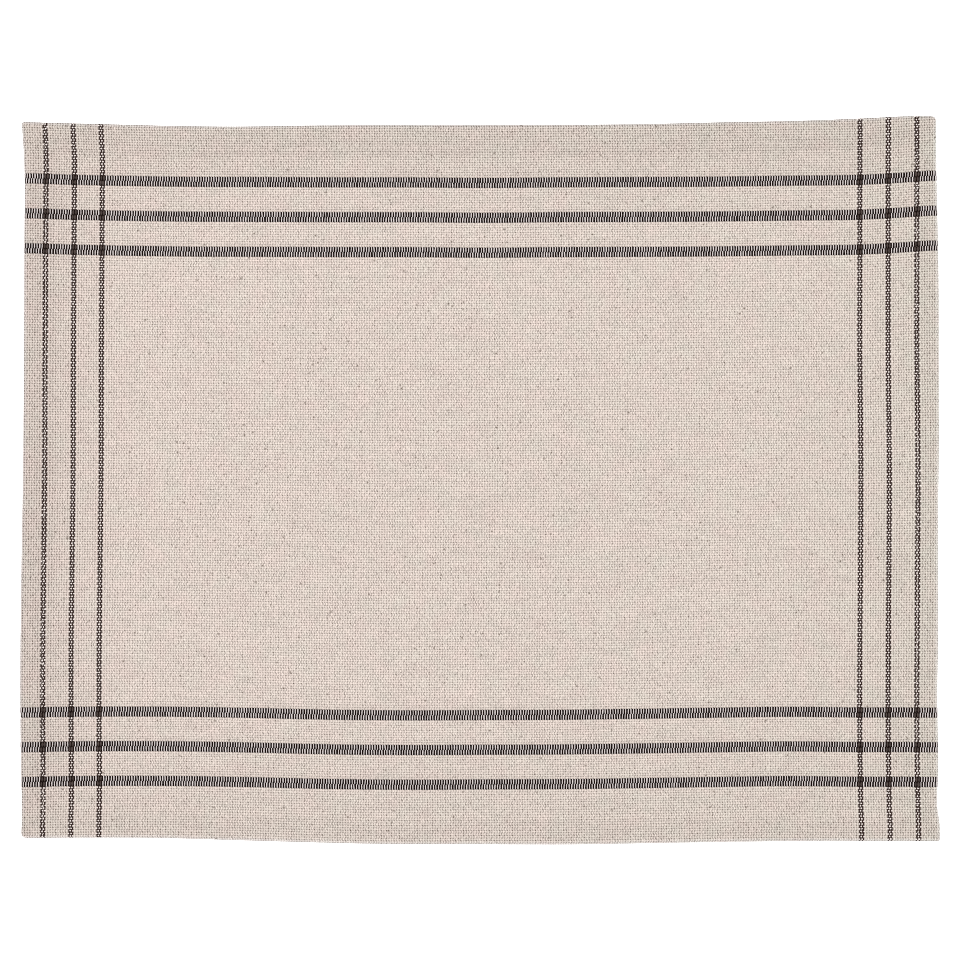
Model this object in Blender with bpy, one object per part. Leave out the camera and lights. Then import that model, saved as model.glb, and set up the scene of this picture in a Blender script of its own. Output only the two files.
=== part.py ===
"""Hemmed cloth placemat lying flat, as one closed solid.

Metres, +Z up, +X along the mat's long side. The origin is the middle of its footprint, on the table.
The mat is one piece of cloth. Its field is a single layer, and a hem turned under on all four sides
makes the border three layers thick, with a rounded fold as its outer edge. The underside lies flat.
"""

import math
from typing import NamedTuple

import bmesh
import bpy

# Size of the mat and of its cloth.
WIDTH = 0.450
HEIGHT = 0.352
CLOTH_THICKNESS = 0.0010
HEM_DEPTH = 0.011
HEM_THICKNESS = 0.0024
CORNER_LAYERS = 0.0005  # what the crossing hems add at a corner
HEM_SLOPE = 0.0045  # the cloth's way down from the hem's inner edge to the table
CORNER_RADIUS = 0.0026  # top right and bottom left
SHARP_CORNER_RADIUS = 0.0014  # top left and bottom right
FOLD_RADIUS = HEM_THICKNESS / 2

# How finely the cloth is divided.
CELL = 0.014
FOLD_FACETS = 4

MM = 0.001


class Station(NamedTuple):
    """A place on an edge: how far along it from the middle, and how far it lies out, in millimetres."""

    along: float
    out: float


# The edges are uneven. Each is a smooth curve through its stations, counted from the plain rectangle.
TOP_EDGE = (
    Station(along=-225, out=0.1),
    Station(along=-189, out=-0.8),
    Station(along=-154, out=-1.7),
    Station(along=-120, out=-2.1),
    Station(along=-85, out=-1.6),
    Station(along=0, out=-1.4),
    Station(along=87, out=-0.75),
    Station(along=121, out=0.05),
    Station(along=155, out=0.7),
    Station(along=190, out=2.0),
    Station(along=208, out=2.9),
    Station(along=225, out=2.95),
)
BOTTOM_EDGE = (
    Station(along=-225, out=-0.4),
    Station(along=-154, out=-0.25),
    Station(along=-120, out=0.75),
    Station(along=-85, out=1.75),
    Station(along=-50, out=2.6),
    Station(along=0, out=2.8),
    Station(along=52, out=2.8),
    Station(along=87, out=2.15),
    Station(along=121, out=1.6),
    Station(along=155, out=1.2),
    Station(along=225, out=1.2),
)
LEFT_EDGE = (
    Station(along=-176, out=0.5),
    Station(along=-161, out=0.1),
    Station(along=-149, out=0.45),
    Station(along=-106, out=0.95),
    Station(along=-42, out=0.4),
    Station(along=0, out=-0.3),
    Station(along=45, out=-0.7),
    Station(along=110, out=-0.95),
    Station(along=163, out=-0.7),
    Station(along=176, out=0.2),
)
RIGHT_EDGE = (
    Station(along=-176, out=0.9),
    Station(along=-171, out=0.9),
    Station(along=-160, out=-0.4),
    Station(along=-140, out=0.15),
    Station(along=-105, out=-0.4),
    Station(along=-85, out=-0.05),
    Station(along=-20, out=0.0),
    Station(along=30, out=0.6),
    Station(along=110, out=0.1),
    Station(along=150, out=-0.75),
    Station(along=176, out=-0.9),
)


class Wave(NamedTuple):
    """A soft wave in the cloth's upper side."""

    length: float
    heading: float
    height: float


WAVES = (
    Wave(length=0.170, heading=math.radians(25), height=0.00008),
    Wave(length=0.095, heading=math.radians(110), height=0.00006),
    Wave(length=0.061, heading=math.radians(65), height=0.00004),
)


class Colour(NamedTuple):
    """A linear colour."""

    red: float
    green: float
    blue: float


ECRU = Colour(red=0.70, green=0.60, blue=0.54)


def clear_scene():
    """Take away whatever objects the scene holds."""
    for old in list(bpy.data.objects):
        bpy.data.objects.remove(old, do_unlink=True)


def edge_out(stations, along):
    """How far an edge lies out at a place along it, in metres, on a smooth curve through its stations."""
    along = min(max(along / MM, stations[0].along), stations[-1].along)
    right = next(i for i in range(1, len(stations)) if along <= stations[i].along)
    before, start, end, after = (
        stations[min(max(i, 0), len(stations) - 1)] for i in range(right - 2, right + 2)
    )
    span = end.along - start.along
    start_slope = (end.out - before.out) / (end.along - before.along)
    end_slope = (after.out - start.out) / (after.along - start.along)
    part = (along - start.along) / span
    rest = 1 - part
    out = (
        start.out * (1 + 2 * part) * rest**2
        + end.out * (3 - 2 * part) * part**2
        + start_slope * span * part * rest**2
        - end_slope * span * rest * part**2
    )
    return out * MM


def to_uneven_outline(x, y):
    """Move a point of the plain rectangle to its place within the mat's uneven edges."""
    to_right = 0.5 + x / WIDTH
    to_top = 0.5 + y / HEIGHT
    push_x = to_right * edge_out(RIGHT_EDGE, y) - (1 - to_right) * edge_out(LEFT_EDGE, y)
    push_y = to_top * edge_out(TOP_EDGE, x) - (1 - to_top) * edge_out(BOTTOM_EDGE, x)
    return x + push_x, y + push_y


def smooth_step(value):
    """0 below 0, 1 above 1, and a smooth rise between them."""
    value = min(max(value, 0.0), 1.0)
    return value * value * (3 - 2 * value)


def upper_height(x, y):
    """Height of the cloth's upper side above the table."""
    from_side = WIDTH / 2 - abs(x)
    from_end = HEIGHT / 2 - abs(y)
    from_edge = min(from_side, from_end)
    hem = 1 - smooth_step((from_edge - HEM_DEPTH) / HEM_SLOPE)
    corner = 1 - smooth_step((max(from_side, from_end) - HEM_DEPTH) / HEM_SLOPE)
    height = CLOTH_THICKNESS + hem * (HEM_THICKNESS - CLOTH_THICKNESS) + corner * CORNER_LAYERS
    for wave in WAVES:
        run = x * math.cos(wave.heading) + y * math.sin(wave.heading)
        height += wave.height * math.sin(2 * math.pi * run / wave.length)
    return height


def line_places(length):
    """Places of the cloth's grid lines across one of its sides: close at the hems, even between them."""
    half = length / 2
    near_edge = (0.0, CORNER_RADIUS, HEM_DEPTH * 0.6, HEM_DEPTH, HEM_DEPTH + HEM_SLOPE / 2, HEM_DEPTH + HEM_SLOPE)
    first = [-half + inset for inset in near_edge]
    between = length - 2 * near_edge[-1]
    count = round(between / CELL)
    middle = [first[-1] + between * i / count for i in range(1, count)]
    return first + middle + [-place for place in reversed(first)]


def corner_radius(x, y):
    """Radius of the corner nearest to a point of the plain rectangle."""
    return CORNER_RADIUS if x * y > 0 else SHARP_CORNER_RADIUS


def on_fold(x, y, inset):
    """Place of an outline point moved in by an inset, with the corners rounded."""
    radius = corner_radius(x, y)
    core_x = min(max(x, radius - WIDTH / 2), WIDTH / 2 - radius)
    core_y = min(max(y, radius - HEIGHT / 2), HEIGHT / 2 - radius)
    reach = math.hypot(x - core_x, y - core_y)
    shrink = (radius - inset) / reach
    return to_uneven_outline(core_x + (x - core_x) * shrink, core_y + (y - core_y) * shrink)


def add_upper_side(bm):
    """Add the upper side as a grid, and return each of its outer vertices with its place in the rectangle."""
    columns = line_places(WIDTH)
    rows = line_places(HEIGHT)
    bmesh.ops.create_grid(bm, x_segments=len(columns) - 1, y_segments=len(rows) - 1, size=1.0)
    outer = {}
    for vert in bm.verts:
        x = columns[round((vert.co.x + 1) / 2 * (len(columns) - 1))]
        y = rows[round((vert.co.y + 1) / 2 * (len(rows) - 1))]
        if vert.is_boundary:
            outer[vert] = (x, y)
            vert.co = (*on_fold(x, y, FOLD_RADIUS), upper_height(x, y))
        else:
            vert.co = (*to_uneven_outline(x, y), upper_height(x, y))
    return outer


def add_fold(bm, outer):
    """Roll the outer edge down and under, and return the edges of its last ring, on the table."""
    ring = [edge for edge in bm.edges if edge.is_boundary]
    for facet in range(1, FOLD_FACETS + 1):
        turn = math.pi * facet / FOLD_FACETS
        made = bmesh.ops.extrude_edge_only(bm, edges=ring)["geom"]
        next_outer = {}
        for vert in (item for item in made if isinstance(item, bmesh.types.BMVert)):
            above = next(edge.other_vert(vert) for edge in vert.link_edges if edge.other_vert(vert) in outer)
            x, y = next_outer[vert] = outer[above]
            height = upper_height(x, y) * (1 + math.cos(turn)) / 2
            vert.co = (*on_fold(x, y, FOLD_RADIUS * (1 - math.sin(turn))), height)
        outer = next_outer
        ring = [item for item in made if isinstance(item, bmesh.types.BMEdge) and item.is_boundary]
    return ring


def add_underside(bm, ring):
    """Close the mat with its flat underside."""
    underside = bmesh.ops.contextual_create(bm, geom=ring)["faces"]
    bmesh.ops.poke(bm, faces=underside)


def centre_on_footprint(bm):
    """Bring the middle of the mat's footprint to the origin."""
    for axis in (0, 1):
        places = [vert.co[axis] for vert in bm.verts]
        middle = (min(places) + max(places)) / 2
        for vert in bm.verts:
            vert.co[axis] -= middle


def cloth_material():
    """Light undyed cotton."""
    material = bpy.data.materials.new("ecru_cotton")
    material.use_nodes = True
    shader = material.node_tree.nodes["Principled BSDF"]
    shader.inputs["Base Color"].default_value = (*ECRU, 1.0)
    shader.inputs["Roughness"].default_value = 0.9
    shader.inputs["Metallic"].default_value = 0.0
    return material


def make_placemat():
    """Make the mat: upper side, rolled fold all round, flat underside."""
    bm = bmesh.new()
    outer = add_upper_side(bm)
    ring = add_fold(bm, outer)
    add_underside(bm, ring)
    centre_on_footprint(bm)
    bmesh.ops.recalc_face_normals(bm, faces=bm.faces)
    mesh = bpy.data.meshes.new("placemat")
    bm.to_mesh(mesh)
    bm.free()
    mesh.shade_smooth()
    mesh.set_sharp_from_angle(angle=math.radians(60))
    mesh.materials.append(cloth_material())
    placemat = bpy.data.objects.new("placemat", mesh)
    bpy.context.scene.collection.objects.link(placemat)


clear_scene()
make_placemat()
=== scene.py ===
"""Looks of the hemmed cloth placemat: its woven ground, dark border yarns, crossings and hem stitches.

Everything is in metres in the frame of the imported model. The cloth is thought of unrolled and flat, counted
in reed pairs of warp ends from left to right and in picks of weft from the middle up. A plan says where each
pair and pick lies, and a surface lays that plan over the mat, round its folded rims and on to its hems.
"""

import logging
import math
from dataclasses import dataclass, field
from enum import Enum
from typing import Any, NamedTuple, Sequence

import bpy
import numpy as np
from numpy.typing import NDArray
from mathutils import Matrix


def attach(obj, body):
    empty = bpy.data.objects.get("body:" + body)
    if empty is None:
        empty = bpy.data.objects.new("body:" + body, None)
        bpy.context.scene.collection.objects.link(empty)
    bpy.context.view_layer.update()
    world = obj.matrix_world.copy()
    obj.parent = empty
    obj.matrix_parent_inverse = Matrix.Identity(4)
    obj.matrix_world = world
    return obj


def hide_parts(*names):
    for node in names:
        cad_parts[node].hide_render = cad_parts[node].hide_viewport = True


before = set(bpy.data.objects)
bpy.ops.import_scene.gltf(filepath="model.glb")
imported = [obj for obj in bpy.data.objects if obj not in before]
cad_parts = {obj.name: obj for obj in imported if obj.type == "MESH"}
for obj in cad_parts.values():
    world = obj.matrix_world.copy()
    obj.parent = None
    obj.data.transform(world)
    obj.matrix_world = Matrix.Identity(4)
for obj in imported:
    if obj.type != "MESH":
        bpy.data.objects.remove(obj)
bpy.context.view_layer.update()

Floats = NDArray[np.float64]
Ints = NDArray[np.int64]
Bools = NDArray[np.bool_]
Colour = tuple[float, float, float]

LOG = logging.getLogger("placemat")
MM = 0.001
BODY = "root"
NODE = "placemat"
MAP = "OFBake"
SEED = 4518
LOWEST = 0.00001  # the lowest crests of the yarns are pressed flat on the table


# ---- The plan of the cloth ----


class Station(NamedTuple):
    """A place along a line and how far the line lies out there, in millimetres."""

    along: float
    out: float


@dataclass(frozen=True)
class Line:
    """An uneven line: a smooth curve through its stations."""

    stations: tuple[Station, ...]  # the stations in order along the line

    @staticmethod
    def through(*stations: tuple[float, float]) -> "Line":
        """A line through stations, each given by its place along and its distance out."""
        return Line(tuple(Station(*station) for station in stations))

    def at(self, along: Floats) -> Floats:
        """How far the line lies out.

        Args:
            along: Places along the line, in metres.

        Returns:
            The distance out at each place, in metres.
        """
        place = np.array([s.along for s in self.stations]) * MM
        out = np.array([s.out for s in self.stations]) * MM
        slope = np.gradient(out, place)
        along = np.clip(along, place[0], place[-1])
        right = np.clip(np.searchsorted(place, along), 1, len(place) - 1)
        left = right - 1
        span = place[right] - place[left]
        part = (along - place[left]) / span
        rest = 1 - part
        return (
            out[left] * (1 + 2 * part) * rest**2
            + out[right] * (3 - 2 * part) * part**2
            + (slope[left] * part * rest**2 - slope[right] * rest * part**2) * span
        )


def smooth_step(value: Floats) -> Floats:
    """0 below 0, 1 above 1, and a smooth rise between them."""
    value = np.clip(value, 0.0, 1.0)
    return value * value * (3 - 2 * value)


@dataclass(frozen=True)
class Outline:
    """The mat's uneven edges, as in the CAD."""

    half_width: float = 0.225  # half the plain rectangle's long side
    half_height: float = 0.176  # half its short side
    # how far out the top edge lies along x
    top: Line = Line.through(
        (-225, 0.1), (-189, -0.8), (-154, -1.7), (-120, -2.1), (-85, -1.6), (0, -1.4), (87, -0.75),
        (121, 0.05), (155, 0.7), (190, 2.0), (208, 2.9), (225, 2.95),
    )
    # how far out the bottom edge lies along x
    bottom: Line = Line.through(
        (-225, -0.4), (-154, -0.25), (-120, 0.75), (-85, 1.75), (-50, 2.6), (0, 2.8), (52, 2.8),
        (87, 2.15), (121, 1.6), (155, 1.2), (225, 1.2),
    )
    # how far out the left edge lies along y
    left: Line = Line.through(
        (-176, 0.5), (-161, 0.1), (-149, 0.45), (-106, 0.95), (-42, 0.4), (0, -0.3), (45, -0.7),
        (110, -0.95), (163, -0.7), (176, 0.2),
    )
    # how far out the right edge lies along y
    right: Line = Line.through(
        (-176, 0.9), (-171, 0.9), (-160, -0.4), (-140, 0.15), (-105, -0.4), (-85, -0.05), (-20, 0.0),
        (30, 0.6), (110, 0.1), (150, -0.75), (176, -0.9),
    )

    def top_at(self, x: Floats) -> Floats:
        """Where the top edge is, along x."""
        return self.half_height + self.top.at(x)

    def bottom_at(self, x: Floats) -> Floats:
        """Where the bottom edge is, along x."""
        return -self.half_height - self.bottom.at(x)

    def left_at(self, y: Floats) -> Floats:
        """Where the left edge is, along y."""
        return -self.half_width - self.left.at(y)

    def right_at(self, y: Floats) -> Floats:
        """Where the right edge is, along y."""
        return self.half_width + self.right.at(y)

    def middle(self, steps: int = 400) -> tuple[float, float]:
        """The middle of the footprint, which the CAD has at the origin.

        Args:
            steps: How many places along each edge are looked at.

        Returns:
            Its x and y in the plain rectangle's frame.
        """
        x = np.linspace(-self.half_width, self.half_width, steps)
        y = np.linspace(-self.half_height, self.half_height, steps)
        return (
            float(self.right_at(y).max() + self.left_at(y).min()) / 2,
            float(self.top_at(x).max() + self.bottom_at(x).min()) / 2,
        )


class Level(NamedTuple):
    """A count of pairs or picks and where it lies, in millimetres."""

    count: float
    place: float


@dataclass(frozen=True)
class Counted:
    """One direction of the plan: counts, where they lie, and how the first and last border lines stray."""

    levels: tuple[Level, ...]  # the counts with their places
    low: Line  # how the border on the low side strays along the other direction
    high: Line  # how the border on the high side strays along the other direction
    low_count: float  # the count at which the cloth follows the low side's line fully
    high_count: float  # the count at which it follows the high side's line fully

    def nominal(self, count: Floats) -> Floats:
        """Where counts lie before they stray."""
        return np.interp(count, [v.count for v in self.levels], [v.place * MM for v in self.levels])

    def counts(self, place: Floats) -> Floats:
        """The counts at places that don't stray."""
        return np.interp(place, [v.place * MM for v in self.levels], [v.count for v in self.levels])

    def stray(self, count: Floats, other: Floats) -> Floats:
        """How far counts stray.

        Args:
            count: Pairs or picks.
            other: The nominal place in the other direction.

        Returns:
            The distance from the nominal place, in metres.
        """
        share = np.clip((count - self.low_count) / (self.high_count - self.low_count), 0.0, 1.0)
        return (1 - share) * self.low.at(other) + share * self.high.at(other)


class BandGroup(NamedTuple):
    """The dark weft bands at one end: where their middle one lies, and their spacing, in millimetres."""

    middle: float
    spacing: float


OUTER_REACH = 40  # counts past the outermost border line that the plan still covers
LINES_A_SIDE = 3
WARP_LINES = (9, 20, 31, 328, 339, 350)  # in pairs
WARP_LINE_PLACES = (-213.68, -199.97, -186.22, 186.92, 200.89, 214.77)  # in millimetres, as all below
WEFT_BANDS = (-114, -102, -90, 90, 102, 114)  # in picks
BAND_GROUPS = (BandGroup(middle=-132.15, spacing=17.03), BandGroup(middle=129.35, spacing=17.15))
PAIR_PITCH = 1.255
PICK_PITCH = 1.247
THICK_PICK = 2.46
PAIR_RANGE = (-14, 374)  # counts from past the hem's inner fold on one side to past it on the other
PICK_RANGE = (-150, 150)


def run_on(levels: Sequence[Level], pitch: float) -> tuple[Level, ...]:
    """Adds a level at either end, as far out as the plan reaches.

    Args:
        levels: The levels between.
        pitch: The pitch past them.

    Returns:
        All levels in order.
    """
    first, last = levels[0], levels[-1]
    before = Level(first.count - OUTER_REACH, first.place - OUTER_REACH * pitch)
    after = Level(last.count + OUTER_REACH, last.place + OUTER_REACH * pitch)
    return (before, *levels, after)


def warp_levels() -> tuple[Level, ...]:
    """Where the six dark warp lines lie, and how the pairs run on past them."""
    return run_on([Level(count, x) for count, x in zip(WARP_LINES, WARP_LINE_PLACES)], PAIR_PITCH)


def weft_levels() -> tuple[Level, ...]:
    """Where both sides of the six dark weft bands lie, and how the picks run on past them.

    Returns:
        The levels in order.
    """
    levels = []
    for number, count in enumerate(WEFT_BANDS):
        group = BAND_GROUPS[number // LINES_A_SIDE]
        place = group.middle + (number % LINES_A_SIDE - 1) * group.spacing
        levels += [Level(count - 1, place - THICK_PICK), Level(count + 1, place + THICK_PICK)]
    return run_on(levels, PICK_PITCH)


@dataclass(frozen=True)
class WeavePlan:
    """Where each warp pair and each pick of weft lies in the unrolled cloth."""

    # the reed pairs along x, with the lean of the side lines
    pairs: Counted = Counted(
        levels=warp_levels(),
        low=Line.through(
            (-170, -1.0), (-157, -0.9), (-110, -1.1), (-86, -1.05), (-40, -0.55), (8, -0.05), (56, 0.1),
            (103, 0.35), (138, 0.55), (161, 0.6), (173, 0.1),
        ),
        high=Line.through(
            (-170, 0.45), (-157, 0.15), (-110, -0.35), (-86, -0.25), (-40, 0.05), (8, 0.2), (31, 0.0),
            (56, -0.3), (103, -0.35), (138, -0.35), (161, -0.3), (173, -0.45),
        ),
        low_count=20,
        high_count=339,
    )
    # the picks along y, with the bow of the top and bottom bands
    picks: Counted = Counted(
        levels=weft_levels(),
        low=Line.through(
            (-221, 1.15), (-184, 1.5), (-146, 1.4), (-109, 0.8), (-72, -0.05), (-34, -0.4), (3, -0.25),
            (40, -0.1), (78, 0.4), (115, 0.95), (152, 1.4), (190, 1.05), (208, 1.1),
        ),
        high=Line.through(
            (-221, 1.75), (-184, 0.85), (-146, 0.3), (-109, 0.15), (-72, 0.0), (-34, -0.05), (3, -0.3),
            (40, 0.0), (78, 0.15), (115, 0.35), (152, 0.8), (190, 1.35), (207, 2.25), (222, 3.1),
        ),
        low_count=-91,
        high_count=91,
    )
    rounds: int = 4  # how many rounds of correction bring a place back to its counts

    def place(self, pair: Floats, pick: Floats) -> tuple[Floats, Floats]:
        """Where counts lie in the unrolled cloth.

        Args:
            pair: Counts of reed pairs.
            pick: Counts of picks.

        Returns:
            Their x and y.
        """
        x = self.pairs.nominal(pair)
        y = self.picks.nominal(pick)
        return x + self.pairs.stray(pair, y), y + self.picks.stray(pick, x)

    def count(self, x: Floats, y: Floats) -> tuple[Floats, Floats]:
        """The counts at places of the unrolled cloth.

        Args:
            x: Places along the mat.
            y: Places across it.

        Returns:
            The pair and pick at each place.
        """
        plain_x, plain_y = x, y
        for _ in range(self.rounds):
            pair, pick = self.pairs.counts(plain_x), self.picks.counts(plain_y)
            plain_x, plain_y = x - self.pairs.stray(pair, plain_y), y - self.picks.stray(pick, plain_x)
        return self.pairs.counts(plain_x), self.picks.counts(plain_y)


def near_warp_line(pair: Floats, inner: float, outer: float) -> Floats:
    """1 on a dark warp line, falling to 0 between two distances from its middle, in pairs."""
    away = np.min([np.abs(pair - line) for line in WARP_LINES], axis=0)
    return 1 - smooth_step((away - inner) / (outer - inner))


def near_weft_band(pick: Floats, inner: float, outer: float) -> Floats:
    """1 on a dark weft band, falling to 0 between two distances from its middle, in picks."""
    away = np.min([np.abs(pick - band) for band in WEFT_BANDS], axis=0)
    return 1 - smooth_step((away - inner) / (outer - inner))


# ---- The surface of the cloth ----


class Course(Enum):
    """Which way a yarn runs."""

    WARP = "along y"
    WEFT = "along x"


class Side(Enum):
    """A side of the cloth."""

    UPPER = 1.0
    UNDER = -1.0


class Wave(NamedTuple):
    """A soft wave in the cloth: its length, the direction that it runs in, and half its height."""

    length: float
    heading: float
    height: float


class Spots(NamedTuple):
    """Places on the cloth with the directions there: along the yarn, across it and out of the cloth."""

    place: Floats
    along: Floats
    across: Floats
    out: Floats

    def crosswise(self) -> "Spots":
        """The same spots for a yarn that runs across this one."""
        return Spots(self.place, self.across, self.along, self.out)

    def turned(self, angle: Floats) -> "Spots":
        """Turns the directions in the cloth.

        Args:
            angle: The angle at each spot.

        Returns:
            The same spots, with the new directions.
        """
        cos, sin = np.cos(angle)[:, None], np.sin(angle)[:, None]
        along = self.along * cos + self.across * sin
        across = self.across * cos - self.along * sin
        return Spots(self.place, along, across, self.out)


def unit(vectors: Floats) -> Floats:
    """Vectors brought to length 1."""
    return vectors / np.linalg.norm(vectors, axis=-1, keepdims=True)


@dataclass(frozen=True)
class ClothSurface:
    """The shape of the mat: one layer of cloth with its hems turned under."""

    outline: Outline = Outline()
    plan: WeavePlan = WeavePlan()
    field_top: float = 0.00100  # height of the field's upper side
    layer: float = 0.00080  # thickness of one layer, without the crests of its yarns
    hem_top: float = 0.00240  # height of the hem's upper side
    corner_rise: float = 0.00045  # what crossing hems add
    hem_depth: float = 0.0110  # how far in the hem reaches
    hem_slope: float = 0.0045  # the way from the hem down to the field
    rim: float = 0.0012  # how far in from the edge the rim starts to roll
    rest: float = 0.00020  # height of the hem's lower side, which the crests of its yarns hold off the table
    corner_radius: float = 0.0026  # radius of the top right and bottom left corners
    sharp_radius: float = 0.0014  # radius of the other two
    inner_fold: float = 0.0114  # how far in from the edge the turned-in cloth folds back
    inner_roll: float = 0.0007  # radius of that fold
    seam_inset: float = 0.0106  # how far in the stitches run
    seam_dip: float = 0.00030  # how far the stitches draw the cloth down
    seam_width: float = 0.0008  # how far to either side of the stitches that shows
    pucker: float = 0.00009  # half the height of the small puckers that the stitches make
    pucker_length: float = 0.0098  # their length
    pucker_reach: float = 7.0  # how much wider than the dip the puckers are
    pucker_drift: float = 2.2  # how far they run ahead and fall behind, as an angle
    drift_pace: float = 0.137  # how fast they do, against the puckers themselves
    swell_pace: float = 0.061  # how fast they swell and fade
    swell_start: float = 1.0  # where in that they start, as an angle
    # the soft waves of the whole mat
    waves: tuple[Wave, ...] = (
        Wave(0.170, math.radians(25), 0.00008),
        Wave(0.095, math.radians(110), 0.00006),
        Wave(0.061, math.radians(65), 0.00004),
    )
    slope_step: float = 0.0002  # over what distance a slope is measured

    def insets(self, x: Floats, y: Floats) -> tuple[Floats, Floats]:
        """How far in from the edges places are.

        Args:
            x: Places along the mat.
            y: Places across it.

        Returns:
            The insets from the side edges, and those from the top and bottom edges.
        """
        side = np.minimum(x - self.outline.left_at(y), self.outline.right_at(y) - x)
        end = np.minimum(y - self.outline.bottom_at(x), self.outline.top_at(x) - y)
        return side, end

    def radius_at(self, x: Floats, y: Floats) -> Floats:
        """Radius of the corner nearest to places."""
        return np.where(x * y > 0, self.corner_radius, self.sharp_radius)

    def seam(self, inset: Floats, run: Floats) -> Floats:
        """How far one hem's seam draws the cloth down, with its puckers.

        Args:
            inset: Insets from the hem's edge.
            run: Places along the hem.

        Returns:
            The depth at each place.
        """
        away = (inset - self.seam_inset) / self.seam_width
        dip = self.seam_dip * np.exp(-away * away)
        turn = 2 * math.pi * run / self.pucker_length
        drift = self.pucker_drift * np.sin(turn * self.drift_pace)
        ripple = np.sin(turn + drift) * np.sin(turn * self.swell_pace + self.swell_start)
        reach = np.exp(-(((inset - self.seam_inset) / (self.pucker_reach * self.seam_width)) ** 2))
        return dip + self.pucker * ripple * reach

    def upper(self, x: Floats, y: Floats) -> Floats:
        """Height of the upper side, without the grooves in which the dark yarns lie.

        Args:
            x: Places along the mat.
            y: Places across it.

        Returns:
            The height at each place.
        """
        side, end = self.insets(x, y)
        edge, far = np.minimum(side, end), np.maximum(side, end)
        hem = 1 - smooth_step((edge - self.hem_depth) / self.hem_slope)
        corner = 1 - smooth_step((far - self.hem_depth) / self.hem_slope)
        height = self.field_top + hem * (self.hem_top - self.field_top) + corner * self.corner_rise
        for wave in self.waves:
            run = x * math.cos(wave.heading) + y * math.sin(wave.heading)
            height = height + wave.height * np.sin(2 * math.pi * run / wave.length)
        return height - np.maximum(self.seam(side, y), self.seam(end, x)) * smooth_step(edge / self.hem_depth)

    def lower(self, x: Floats, y: Floats) -> Floats:
        """Height of the single layer's lower side, away from the hems."""
        return self.upper(x, y) - self.layer

    def slopes(self, x: Floats, y: Floats) -> Floats:
        """The direction out of the upper side.

        Args:
            x: Places along the mat.
            y: Places across it.

        Returns:
            A vector of length 1 at each place.
        """
        step = self.slope_step
        slope_x = (self.upper(x + step, y) - self.upper(x - step, y)) / (2 * step)
        slope_y = (self.upper(x, y + step) - self.upper(x, y - step)) / (2 * step)
        return unit(np.stack([-slope_x, -slope_y, np.ones_like(x)], axis=-1))

    def spots(self, course: Course, x: Floats, y: Floats, side: Side = Side.UPPER) -> Spots:
        """Lays places of the unrolled cloth over the mat.

        Args:
            course: Which way the yarn runs, and so over which rims it folds.
            x: Unrolled places along the mat.
            y: Unrolled places across it.
            side: The side of the cloth; only the upper one goes on round the rims.

        Returns:
            The places on the cloth, with their directions.
        """
        run, other = (y, x) if course is Course.WARP else (x, y)
        low_edge, high_edge = self.ends_of(course, other)
        low, high = low_edge + self.rim, high_edge - self.rim
        flat = np.clip(run, low, high)
        past = np.abs(run - flat)
        way = np.where(run >= flat, 1.0, -1.0)
        flat_x, flat_y = (other, flat) if course is Course.WARP else (flat, other)
        height = self.upper(flat_x, flat_y)
        roll = (height - self.rest) / 2
        radius = (self.rim + roll) / 2
        turn = np.clip(past / radius, 0.0, math.pi)
        back = np.maximum(past - math.pi * radius, 0.0)
        folded = past > 0
        place_run = flat + way * (self.rim * np.sin(turn) - back)
        place_z = np.where(folded, self.rest + roll * (1 + np.cos(turn)), height)
        zero, one = np.zeros_like(run), np.ones_like(run)
        if course is Course.WARP:
            place = np.stack([other, place_run, place_z], axis=-1)
            rolled = np.stack([zero, way * np.sin(turn), np.cos(turn)], axis=-1)
            across = np.stack([one, zero, zero], axis=-1)
        else:
            place = np.stack([place_run, other, place_z], axis=-1)
            rolled = np.stack([way * np.sin(turn), zero, np.cos(turn)], axis=-1)
            across = np.stack([zero, -one, zero], axis=-1)
        out = np.where(folded[..., None], rolled, self.slopes(flat_x, flat_y))
        if side is Side.UNDER:
            place = place - np.array([0.0, 0.0, self.layer])
            out = -out
        across = unit(across - out * (across * out).sum(-1, keepdims=True))
        return Spots(place, np.cross(out, across), across, out)

    def ends_of(self, course: Course, other: Floats) -> tuple[Floats, Floats]:
        """Where the edges are that yarns of a course run to.

        Args:
            course: The way that the yarns run.
            other: Places in the other direction.

        Returns:
            The low edge and the high edge.
        """
        if course is Course.WARP:
            return self.outline.bottom_at(other), self.outline.top_at(other)
        return self.outline.left_at(other), self.outline.right_at(other)

    def reach(self, course: Course, other: Floats) -> tuple[Floats, Floats]:
        """How far the unrolled cloth shows: from one hem's inner fold, round the rims, to the other's.

        Args:
            course: The direction.
            other: Places in the other direction.

        Returns:
            The lowest and highest unrolled place that shows.
        """
        radius = (self.rim + (self.hem_top - self.rest) / 2) / 2
        tucked = math.pi * radius + self.inner_fold - 2 * self.rim - self.inner_roll / 2
        low, high = self.ends_of(course, other)
        return low - tucked, high + tucked

    def shows(self, course: Course, x: Floats, y: Floats) -> Bools:
        """Whether unrolled places show, on either side of the cloth or round its rims.

        Args:
            course: The way that the yarn runs.
            x: Unrolled places along the mat.
            y: Unrolled places across it.

        Returns:
            Whether each does.
        """
        run, other = (y, x) if course is Course.WARP else (x, y)
        low, high = self.reach(course, other)
        return (run > low) & (run < high)


# ---- Meshes ----


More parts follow.
